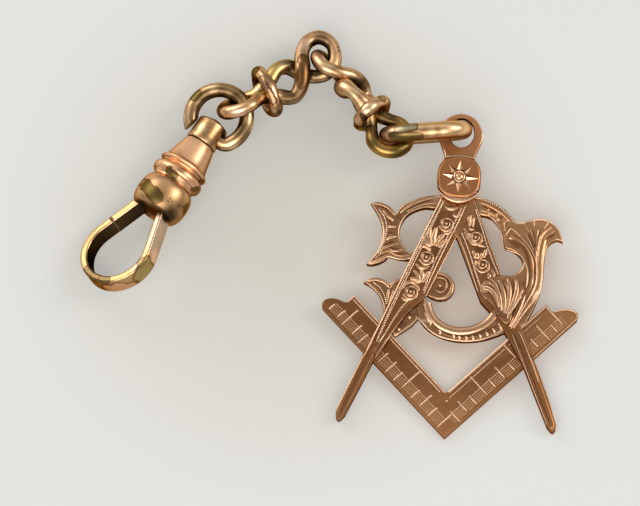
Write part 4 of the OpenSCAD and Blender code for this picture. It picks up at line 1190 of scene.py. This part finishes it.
LEG_SHADES = [
    (0.09, [(-1.62, -2.6), (-2.3, -4.2), (-3.75, -7.6), (-5.05, -10.75), (-6.4, -14.1), (-7.7, -17.4),
            (-8.3, -19.0)]),
    (0.22, [(-3.1, -13.85), (-4.1, -14.5), (-5.2, -15.5), (-6.2, -16.9), (-7.1, -18.6), (-8.2, -20.7)]),
    (0.10, [(1.5, -4.2), (2.5, -6.5), (3.5, -8.9), (4.4, -10.9)]),
    (0.12, [(1.0, -7.4), (1.9, -9.4), (2.7, -11.5)]),
    (0.14, [(6.9, -17.3), (7.4, -18.3), (8.9, -21.6), (10.4, -25.2), (11.5, -27.7)]),
    (0.12, [(-8.2, -19.9), (-9.4, -22.7), (-10.7, -25.8), (-11.8, -28.2)]),
]
LOWER_LEG_TOP = -18.6


def volute(x, y, start):
    """Line that winds inwards and thins out."""
    line = []
    for i in range(22):
        t = i / 21
        angle = math.radians(start + VOLUTE_SWEEP * t)
        reach = VOLUTE_SIZE * (1 - 0.45 * t)
        line.append((x + reach * math.cos(angle), y + reach * math.sin(angle), 0.17 - 0.07 * t))
    return line


def crescent(x, y, radius, start, end, half_width):
    """Part of a circle, full in the middle and thin at both ends."""
    return [(px, py, half_width * (0.3 + 0.7 * math.sin(math.pi * i / 12)))
            for i, (px, py) in enumerate(arc(x, y, radius, start, end, 13))]


def make_compasses():
    plates = [plate("leg", [outline], PLATE_BACK, LEG_FIELD, PLATE_EDGE) for outline in (LEG, mirrored(LEG))]
    plates += [plate("lower_leg", [outline], 1.6, LEG_TOP - 0.08, 0.3, 3)
               for outline in (LOWER_LEG, mirrored(LOWER_LEG))]
    plates.append(plate("facet", [FACET], 1.6, LEG_TOP - 0.15, 0.12))
    for part in plates:
        smooth(coated(part, FLAT_METAL), 30)
    hollows = [even(points, width) for width, points in LEG_HOLLOWS]
    leaf_rows = LEFT_LEAVES + RIGHT_LEAVES
    flutes = [(width * FLUTE_SHARE, points) for width, points in leaf_rows]
    # crests of painted highlight on the leaves, shifted a little towards the light
    crests = [(width * CREST_SHARE, [(x + 0.06, y - 0.05) for x, y in points])
              for width, points in leaf_rows]
    leaves = [
        ribs("leg_hollows", hollows, LEG_FIELD, 0.06, HOLLOW_METAL),
        fluted("leg_leaves", flutes, LEG_FIELD + 0.02, 0.6, RELIEF_METAL, 0.35, 10),
        fluted("leg_crests", crests, LEG_FIELD + 0.17, 0.8, BAND_METAL),
    ]
    scrolls = [volute(x, y, start) for x, y, start in VOLUTES]
    # round each scroll a dark ring of painted shade, and crescents of painted highlight
    pits = [crescent(x, y, 0.62, 0, 350, 0.16) for x, y, _ in VOLUTES]
    lights = [crescent(x, y, *shape) for x, y, _ in VOLUTES for shape in CRESCENTS]
    rosettes = [
        ribs("volutes", scrolls, LEG_FIELD + 0.06, 0.9, RELIEF_METAL, 10),
        ribs("volute_pits", pits, LEG_FIELD + 0.02, 0.4, DARK_METAL),
        ribs("volute_lights", lights, LEG_FIELD + 0.17, 0.9, PAINTED_GLINT_METAL),
    ]
    shades = [even(points, width) for width, points in LEG_SHADES]
    shades = ribs("leg_shades", shades, LEG_FIELD + 0.02, 0.3, DARK_METAL)
    edges = fluted("leg_edges", LEG_EDGES, LEG_FIELD + 0.06, 0.9, PAINTED_GLINT_METAL, 0.6)
    # both step up onto the thicker foot
    climb(shades, 0.25, LOWER_LEG_TOP, 0.6)
    climb(edges, 0.16, LOWER_LEG_TOP, 0.6)
    middles = [(x, y) for x, y, _ in VOLUTES] + [LONE_BALL]
    balls = [ball(x, y, LEG_FIELD + 0.1, VOLUTE_BALL, RELIEF_METAL) for x, y in middles]
    legs = joined("compasses", *plates, *leaves, *rosettes, shades, edges, *balls)
    laid(legs, PENDANT, "fob", "pendant")


make_compasses()

# Pendant: the beaded borders

# On the legs, as (height over the leg, points), and on the scrollwork, as points
LEG_GRAIN = [
    (0.12, [(-1.64, -2.82), (-2.25, -4.27), (-3.49, -7.10), (-4.59, -9.68), (-5.60, -12.33), (-6.61, -14.98),
            (-7.62, -17.80), (-8.08, -19.20)]),
    (0.12, [(0.46, -3.46), (-0.38, -5.54), (-1.34, -7.78), (-2.16, -9.69), (-2.82, -11.76),
            (-3.28, -13.25)]),
    (0.1, [(-4.17, -14.03), (-5.00, -14.56), (-5.58, -15.25), (-6.15, -16.25), (-6.64, -17.17),
           (-7.27, -18.43), (-7.84, -19.27)]),
    (0.12, [(0.64, -6.37), (1.46, -8.18), (2.35, -10.72), (2.99, -12.39)]),
    (0.12, [(2.03, -3.61), (2.88, -5.83), (3.71, -8.21), (4.93, -10.89)]),
]
SCROLL_GRAIN = [
    [(-8.59, -4.16), (-8.04, -4.94), (-7.76, -5.90), (-7.74, -6.79), (-7.88, -7.60), (-8.17, -8.43),
     (-8.52, -9.26)],
    [(-8.79, -12.52), (-8.14, -12.97), (-7.71, -13.59), (-7.39, -14.30), (-7.24, -15.02)],
    [(2.70, -2.27), (3.66, -2.57), (4.62, -3.05), (5.44, -3.65), (6.31, -4.62)],
]
GRAIN_PITCH, GRAIN_RADIUS = 0.24, 0.115


def make_beading():
    rows = [(LEG_FIELD + lift, points) for lift, points in LEG_GRAIN]
    rows += [(SCROLL_TOP + 0.06, points) for points in SCROLL_GRAIN]
    places = [(p.x, p.y, level) for level, points in rows for p in along(points, GRAIN_PITCH)]
    # the beads lie on dark beds of painted shade
    beading = joined(
        "beading",
        grains("grains", places, GRAIN_RADIUS),
        ribs("leg_bed", [even(points, 0.17) for _, points in LEG_GRAIN], LEG_FIELD + 0.02, 0.4, DARK_METAL),
        ribs("scroll_bed", [even(points, 0.15) for points in SCROLL_GRAIN], SCROLL_TOP, 0.4, DARK_METAL),
    )
    laid(beading, PENDANT, "fob", "pendant")


make_beading()

# Pendant: boss and eye

BOSS_BACK, BOSS_TOP, BOSS_RADIUS = 0.65, 2.7, 2.51175
STAR_PIT, STAR_RING, STAR_BEAD = 0.74, 0.58, 0.44
COLLAR_RADIUS, RIM_RADIUS = 2.78, 2.5
# Each ray of the star: direction, reach, and which of its two faces is painted lit; the other face is
# painted shaded
RAYS = [(-3, 2.15, -1), (43, 1.75, -1), (88, 1.9, 1), (133, 1.8, 1), (174, 1.9, 1), (219, 1.8, 1),
        (268, 1.85, -1), (312, 1.9, 1)]


def ray_faces(name, rays):
    """Long facets from the ring of the star to its points, raised along the middle."""
    corners, sides = [], []
    for degrees, reach, side in rays:
        a = math.radians(degrees)
        out, across = Vector((math.cos(a), math.sin(a))), Vector((-math.sin(a), math.cos(a)))
        places = [(out * 0.7, 0.1), (out * 0.85 + across * 0.32 * side, 0), (out * reach, 0),
                  (out * 1.2, 0.14)]
        first = len(corners)
        corners += [(p.x, p.y, BOSS_TOP + high) for p, high in places]
        face = [first, first + 1, first + 2, first + 3]
        sides.append(face if side < 0 else face[::-1])
    mesh = bpy.data.meshes.new(name)
    mesh.from_pydata(corners, [], sides)
    return shown(mesh, name)


def boss_outline():
    """Round with slightly flattened flanks, as on the real boss."""
    line = []
    for i in range(72):
        a = math.radians(5 * i)
        r = BOSS_RADIUS * (1 - 0.035 * math.cos(4 * a))
        line.append((r * math.cos(a), r * math.sin(a)))
    return line


def make_boss():
    body = smooth(coated(plate("boss", [boss_outline()], BOSS_BACK, BOSS_TOP, 0.3, 5), FLAT_METAL), 60)
    shaded_faces = [(degrees, reach, -side) for degrees, reach, side in RAYS]
    # painted light and shade on the star: lit faces of the rays and the ring in glint, shaded faces and the
    # pit round the ring dark
    star = [
        coated(ray_faces("rays_light", RAYS), PAINTED_GLINT_METAL),
        coated(ray_faces("rays_dark", shaded_faces), HOLLOW_METAL),
        ribs("star_pit", [wide(arc(0, 0, STAR_PIT, 0, 360, 31), 0.13)], BOSS_TOP + 0.02, 0.6, DARK_METAL),
        ribs("star_ring", [wide(arc(0, 0, STAR_RING, 0, 360, 31), 0.1)], BOSS_TOP + 0.06, 1.0, PAINTED_GLINT_METAL,
             12),
        ball(0, 0, BOSS_TOP + 0.02, STAR_BEAD, BAND_METAL, flat=0.5, segments=24),
    ]
    # the collar below the boss, a painted highlight, is full in its middle, the tenth of its 19 points
    collar = arc(0, 0, COLLAR_RADIUS, -144, -36, 19)
    collar = [(x, y, 0.27 - 0.2 * abs(i - 9) / 9) for i, (x, y) in enumerate(collar)]
    collar = ribs("collar", [collar], LEG_TOP + 0.12, 0.8, PAINTED_GLINT_METAL, 12)
    rim = [(x, y, BOSS_TOP - 0.12) for x, y in arc(0, 0, RIM_RADIUS, -152, -27.8, 28)]
    crown = [(x, 2.72 - 0.075 * x * x, 1.5) for x in (-1.6 + 0.2 * i for i in range(17))]
    beads = [grains("rim_grain", rim, 0.075), grains("crown_grain", crown, 0.12)]
    laid(joined("boss", body, *star, collar, *beads), PENDANT, "fob", "pendant")


make_boss()

EYE_MIDDLE, EYE_RADIUS = (-0.05, 5.2), 2.45
HOLE_MIDDLE, HOLE_WIDE, HOLE_TALL = (0.03, 5.45), 1.38, 1.68
HOLE_WALL = 1.75
EYE_BACK, EYE_TOP = 0.62, 1.45
RIGHT_NECK = [(1.75, 1.6), (1.65, 2.8), (1.95, 3.6)]
LEFT_NECK = [(-2.1, 3.7), (-1.75, 2.8), (-1.8, 1.6)]


def make_eye():
    hole = arc(*HOLE_MIDDLE, HOLE_WIDE, 0, 352.5, 48, tall=HOLE_TALL)
    outline = RIGHT_NECK + arc(*EYE_MIDDLE, EYE_RADIUS, -28, 208, 60) + LEFT_NECK
    body = smooth(coated(plate("eye", [outline, hole], EYE_BACK, EYE_TOP, PLATE_EDGE, 3), FLAT_METAL), 40)
    # the hole's wall is painted dark, as shade
    body.data.materials.append(DARK_METAL)
    for face in body.data.polygons:
        if abs(face.normal.z) < 0.6 and math.hypot(face.center.x, face.center.y - 5.5) < HOLE_WALL:
            face.material_index = 1
    # painted highlights along the eye's edges
    edges = [
        wide(arc(*EYE_MIDDLE, EYE_RADIUS - 0.09, -24, 42, 12), 0.07),
        [(-2.02, 3.9, 0.07), (-1.92, 3.5, 0.08), (-1.68, 2.9, 0.08), (-1.68, 2.6, 0.06)],
    ]
    eye = joined("eye", body, ribs("eye_edges", edges, EYE_TOP - 0.03, 0.6, PAINTED_GLINT_METAL))
    laid(eye, PENDANT, "fob", "pendant")


make_eye()

# The rings and the knotted links

OVAL_STRAIGHT, OVAL_HALF, OVAL_WIRE = 1.85, 2.4, 1.0


def make_oval_ring():
    middle = arc(OVAL_STRAIGHT, 0, OVAL_HALF, -90, 90, 25) + arc(-OVAL_STRAIGHT, 0, OVAL_HALF, 90, 270, 25)
    ring = wires("oval_ring", [[(x, y, 0, OVAL_WIRE) for x, y in middle]], 28, closed=True)
    laid(smooth(coated(ring, RING_METAL), 60), OVAL_RING, "fob", "pendant_ring", slot="yellow_gold")


make_oval_ring()

# A link's end loop, its bowls' wire and the turn of wire wrapped round its waist
LOOP_RADIUS, LOOP_WIRE, LOOP_TWIST = 2.03, 0.69, -54.6
BOWL_WIRE = 0.775
WRAP_AT, WRAP_WIRE, WRAP_WIDE, WRAP_HIGH = 3.35, 0.76, 2.35, 1.76


def rise(hump, x):
    """How much a link's arched back lifts its wire, x along the link."""
    return hump * math.sin(math.pi * min(max((x - 2.5) / 8, 0), 1))


def link_line(bend, hump, strand):
    """Middle line of a link with its wire radius: end loop, waist, bowl, crossing and second bowl."""
    full, half = math.radians(LOOP_TWIST), math.radians(LOOP_TWIST / 2)
    loop = [
        (x, y * math.cos(full), y * math.sin(full),
         LOOP_WIRE + 0.12 * math.sin(math.radians(20 + 20 * i)) ** 2)
        for i, (x, y) in enumerate(arc(0, 0, LOOP_RADIUS, 40, 320, 8))
    ]

    def waist(s):
        return [(2.35, s * 0.9 * math.cos(full), s * 0.9 * math.sin(full), 0.88),
                (3.3, s * 0.8 * math.cos(half), s * 0.8 * math.sin(half), 0.86)]

    def bowls(s):
        shape = ((4.35, -1.15, 0, strand), (5.8, -1.88, 0, 0.84), (7.15, -1.4, 0.45, strand),
                 (8.15, 0, 0.8, 0.88), (9.2, 1.5, 0.35, 0.82), (10.6, 2.15, 0, 0.8),
                 (12.05, 1.6, 0, BOWL_WIRE))
        return [(x, s * y, s * z, r) for x, y, z, r in shape]

    line = loop + waist(-1) + bowls(1) + [(12.75, 0, 0, BOWL_WIRE)] + bowls(-1)[::-1] + waist(1)[::-1]
    return [
        (x, y + bend * max(0, x - 5.8) / 4.75, z + rise(hump, x), r * (1 + 0.05 * math.sin(2.1 * i)))
        for i, (x, y, z, r) in enumerate(line)
    ]


def wrap_line(lean, hump, neck):
    """Turn of wire round the waist, pinched by the given share before its lower end."""
    line = []
    for i in range(60):
        a = 2 * math.pi * i / 60
        pinch = neck * math.exp(-((math.degrees(a) - 302) / 15) ** 2)
        line.append((WRAP_AT + lean * math.cos(a), WRAP_WIDE * math.cos(a),
                     WRAP_HIGH * math.sin(a) + rise(hump, WRAP_AT),
                     WRAP_WIRE * (1 + 0.07 * math.sin(5 * a) - pinch)))
    return line


def make_link(name, node, place, material, bend, hump, lean, strand, neck):
    line = wires("line", [flow(link_line(bend, hump, strand), 8, closed=True)], 20, closed=True)
    wrap = wires("wrap", [wrap_line(lean, hump, neck)], 20, closed=True)
    link = smooth(coated(joined(name, line, wrap), material), 60)
    laid(link, place, "fob", node, slot="yellow_gold")


make_link("knotted_link_a", "knot_link_a", LINK_A, LINK_A_METAL,
          bend=1.15, hump=0, lean=0.18, strand=0.86, neck=0)
make_link("knotted_link_b", "knot_link_b", LINK_B, LINK_B_METAL,
          bend=-0.25, hump=0.55, lean=-0.2, strand=1.1, neck=0.32)

RING_RADIUS, RING_WIRE, RING_DROP, BEND_RADIUS = 3.16, 0.83, 2.2, 1.0
BEND_Y = math.sqrt((RING_RADIUS - BEND_RADIUS) ** 2 - (RING_DROP - BEND_RADIUS) ** 2)
BEND_ANGLE = math.degrees(math.atan2(BEND_Y, RING_DROP - BEND_RADIUS))
# The block that cuts the ring's left end off slanting: its size, its side's middle and its turn
CUT_BLOCK, CUT_AT, CUT_TURN = (6, 3, 4), (0.1, 2.15, 0), -12.4


def make_swivel_ring():
    """Ring with its right end turned into the barrel and its left end cut off beside it."""
    ring = arc(RING_DROP, 0, RING_RADIUS, 180 + BEND_ANGLE, 520, 61)
    bend = arc(BEND_RADIUS, -BEND_Y, BEND_RADIUS, 180, 180 + BEND_ANGLE, 9)
    peg = [(0, 0.4 * i - BEND_Y) for i in (3, 2, 1)]
    line = [(x, y, 0, RING_WIRE) for x, y in peg + bend[:-1] + ring]
    obj = wires("swivel_ring", [line], 28)
    bpy.ops.mesh.primitive_cube_add(size=1)
    block = bpy.context.object
    away = Matrix.Translation((0, -CUT_BLOCK[1] / 2, 0)) @ Matrix.Diagonal((*CUT_BLOCK, 1))
    block.data.transform(Matrix.Translation(CUT_AT) @ turn("Z", CUT_TURN) @ away)
    obj = cut(obj, coated(block, SWIVEL_METAL))
    laid(smooth(coated(obj, SWIVEL_METAL), 40), SWIVEL_RING, "fob", "clasp_ring", slot="clasp_gold")


make_swivel_ring()

# The clasp

# Hook: its band's thickness and half width, its round part, its roots on the bulb, and the gate's end
BAND, BAND_HALF = 0.85, 1.1
HOOK_RADIUS = 4.3
HOOK_MIDDLE, LEFT_ROOT, RIGHT_ROOT = Vector((-7.9, 0.55)), Vector((-1.2, 2.25)), Vector((-1.2, -1.75))
SEAM, GATE_GAP = 3.85, 0.1
PIVOT = (-0.25, -0.43)
KNUCKLE, KNUCKLE_BORE, SLOT_PLAY = 0.65, 0.78, 0.12


def tangent_angle(root, side):
    away = root - HOOK_MIDDLE
    return math.atan2(away.y, away.x) + side * math.acos(HOOK_RADIUS / away.length)


LEFT_ANGLE = tangent_angle(LEFT_ROOT, 1)
RIGHT_ANGLE = tangent_angle(RIGHT_ROOT, -1)


def on_gate(points):
    """Points of the gate's arm (along from the bulb, inwards negative) in the hook's frame."""
    along_arm = Vector((math.cos(LEFT_ANGLE + math.pi / 2), math.sin(LEFT_ANGLE + math.pi / 2)))
    outwards = Vector((math.cos(LEFT_ANGLE), math.sin(LEFT_ANGLE)))
    return [tuple(LEFT_ROOT + along_arm * x + outwards * y) for x, y in points]


def hook_outline():
    start = math.degrees(LEFT_ANGLE)
    end = start + math.degrees((RIGHT_ANGLE - LEFT_ANGLE) % (2 * math.pi))
    inwards = Vector((math.cos(RIGHT_ANGLE), math.sin(RIGHT_ANGLE))) * -BAND
    outer = on_gate([(SEAM, 0)]) + arc(*HOOK_MIDDLE, HOOK_RADIUS, start, end, 57) + [tuple(RIGHT_ROOT)]
    inner = on_gate([(SEAM, -BAND)]) + arc(*HOOK_MIDDLE, HOOK_RADIUS - BAND, start, end, 57)
    return outer + [tuple(RIGHT_ROOT + inwards)] + inner[::-1]


def darken_inside(obj):
    """The wall that faces the hook's opening is coloured near black."""
    obj.data.materials.append(INSIDE_METAL)
    for face in obj.data.polygons:
        away = Vector((face.center.x, face.center.y)) - HOOK_MIDDLE
        towards = Vector((face.normal.x, face.normal.y))
        if abs(face.normal.z) < 0.35 and towards.dot(away) < 0:
            face.material_index = 1
    return obj


def make_bulb():
    """Mouth, collar and bulb, spun round the clasp's axis, with the slot for the gate's knuckle."""
    profile = [(0.001, 7.65), (1.62, 7.65), (1.74, 7.61), (1.80, 7.5)]
    profile += flow([(1.80, 7.5), (1.92, 7.05), (2.14, 6.1), (2.36, 5.2), (2.52, 4.72)], 4)[1:]
    profile += flow([(2.56, 4.66), (2.74, 4.52), (2.86, 4.38), (2.88, 4.25), (2.80, 4.12), (2.64, 4.02)], 3)
    profile += flow([(2.56, 3.98), (2.50, 3.86), (2.56, 3.74)], 2)
    profile += arc(2.5, 3.05, 0.5, 72, -72, 17, tall=0.6)
    profile += flow([(2.64, 2.42), (2.54, 2.3), (2.46, 2.12), (2.46, 1.96)], 3)[1:]
    profile += arc(2.35, 0, 0.75, 76, -80, 27, tall=1.9)
    profile += [(2.25, -1.96), (1.7, -2.03), (0.001, -2.05)]
    bulb = coated(turned("bulb", profile, 72), CLASP_METAL)
    bulb.data.transform(turn("Y", 90))
    slot_shape = arc(*PIVOT, KNUCKLE_BORE, 80, 260, 10)
    slot_shape += [(PIVOT[0] - 0.3, -1.3), (3, -3.2), (3, SLOT_PLAY), (PIVOT[0], SLOT_PLAY)]
    slot_half = BAND_HALF + SLOT_PLAY
    cutter = plate("slot", [on_gate(slot_shape)], -slot_half, slot_half, 0.01, 0)
    cutter.data.transform(HOOK_TILT)
    return smooth(cut(bulb, coated(cutter, CLASP_METAL)), 32)


def make_clasp():
    hook = plate("hook", [hook_outline()], -BAND_HALF, BAND_HALF, 0.24, 3)
    darken_inside(smooth(coated(hook, HOOK_METAL), 40))
    hook.data.transform(HOOK_TILT)
    laid(joined("clasp", make_bulb(), hook), CLASP, "clasp", "clasp_body", slot="clasp_gold")


def make_gate():
    near, tip = PIVOT[0] + 0.3, SEAM - GATE_GAP
    shape = arc(*PIVOT, KNUCKLE, 75, 285, 15) + [(near, -BAND), (tip, -BAND), (tip, 0), (near, 0)]
    gate = plate("gate", [on_gate(shape)], -BAND_HALF, BAND_HALF, 0.2, 3)
    darken_inside(smooth(coated(gate, HOOK_METAL), 40))
    low, high = SEAM - 0.13, SEAM - 0.01
    shape = on_gate([(low, -BAND - 0.01), (high, -BAND - 0.01), (high, 0.01), (low, 0.01)])
    seam = coated(plate("seam", [shape], -BAND_HALF + 0.03, BAND_HALF - 0.03, 0.02, 0), DARK_METAL)
    laid(joined("gate", gate, seam), HOOK, "gate", "clasp_gate", slot="clasp_gold")


make_clasp()
make_gate()


# The barrel's cross hole, round the swivel ring's bent end
HOLE_PLAY, HOLE_DEPTH, HOLE_AT = 0.05, 3, (9.2, -0.5, 0)


def make_barrel():
    """Headed pin and barrel, with the cross hole that the ring's end is turned into."""
    profile = [
        (0.001, 6.35), (1.25, 6.35), (1.25, 6.75), (0.85, 6.75), (0.85, 7.75), (1.66, 7.75), (1.74, 7.79),
        (1.8, 7.9), (1.8, 8.6), (1.8, 9.4), (1.8, 10.3), (1.77, 10.4), (1.7, 10.47), (0.5, 10.97),
        (0.3, 11.03), (0.001, 11.05),
    ]
    barrel = coated(turned("swivel", profile, 64), BARREL_METAL)
    barrel.data.transform(turn("Y", 90))
    bpy.ops.mesh.primitive_cylinder_add(vertices=32, radius=RING_WIRE + HOLE_PLAY, depth=HOLE_DEPTH)
    hole = bpy.context.object
    hole.data.transform(Matrix.Translation(HOLE_AT) @ turn("X", 90))
    # the cross hole's wall takes the dark gold, painted shade
    smooth(cut(barrel, coated(hole, DARK_METAL)), 32)
    laid(barrel, CLASP, "fob", "swivel_barrel", slot="clasp_gold")


make_barrel()

# Surface

# Painted shadow: warmer, darker places under the chain and under the pendant: middle, where it fades, colour
# and share
SHADED = (
    ((-0.003, 0.001, 0.0), (0.005, 0.034), (0.301, 0.291, 0.250, 1), 0.85),
    ((0.0145, -0.006, 0.0), (0.007, 0.016), (0.312, 0.254, 0.207, 1), 0.75),
)
TABLE_LIGHT, TABLE_DARK = (0.378, 0.377, 0.367, 1), (0.366, 0.364, 0.352, 1)
TABLE_GLOW = 0.9


def make_floor():
    bpy.ops.mesh.primitive_plane_add(size=3)
    floor = bpy.context.object
    floor.name = "table_top"
    material = bpy.data.materials.new("pale table")
    material.use_nodes = True
    tree = material.node_tree
    shader = tree.nodes["Principled BSDF"]
    shader.inputs["Roughness"].default_value = 0.45
    colour = mixed(tree, noise(tree, 6, 2), TABLE_DARK, TABLE_LIGHT)
    place = tree.nodes.new("ShaderNodeTexCoord").outputs["Object"]
    for middle, fade, tone, share in SHADED:
        shade = ranged(tree, distance_from(tree, place, middle), *fade, share, 0.0)
        colour = mixed(tree, shade, colour, tone)
    tree.links.new(colour, shader.inputs["Base Color"])
    # the sheet is lit from below too, so shadows on it stay pale
    tree.links.new(colour, shader.inputs["Emission Color"])
    shader.inputs["Emission Strength"].default_value = TABLE_GLOW
    floor.data.materials.append(material)


make_floor()
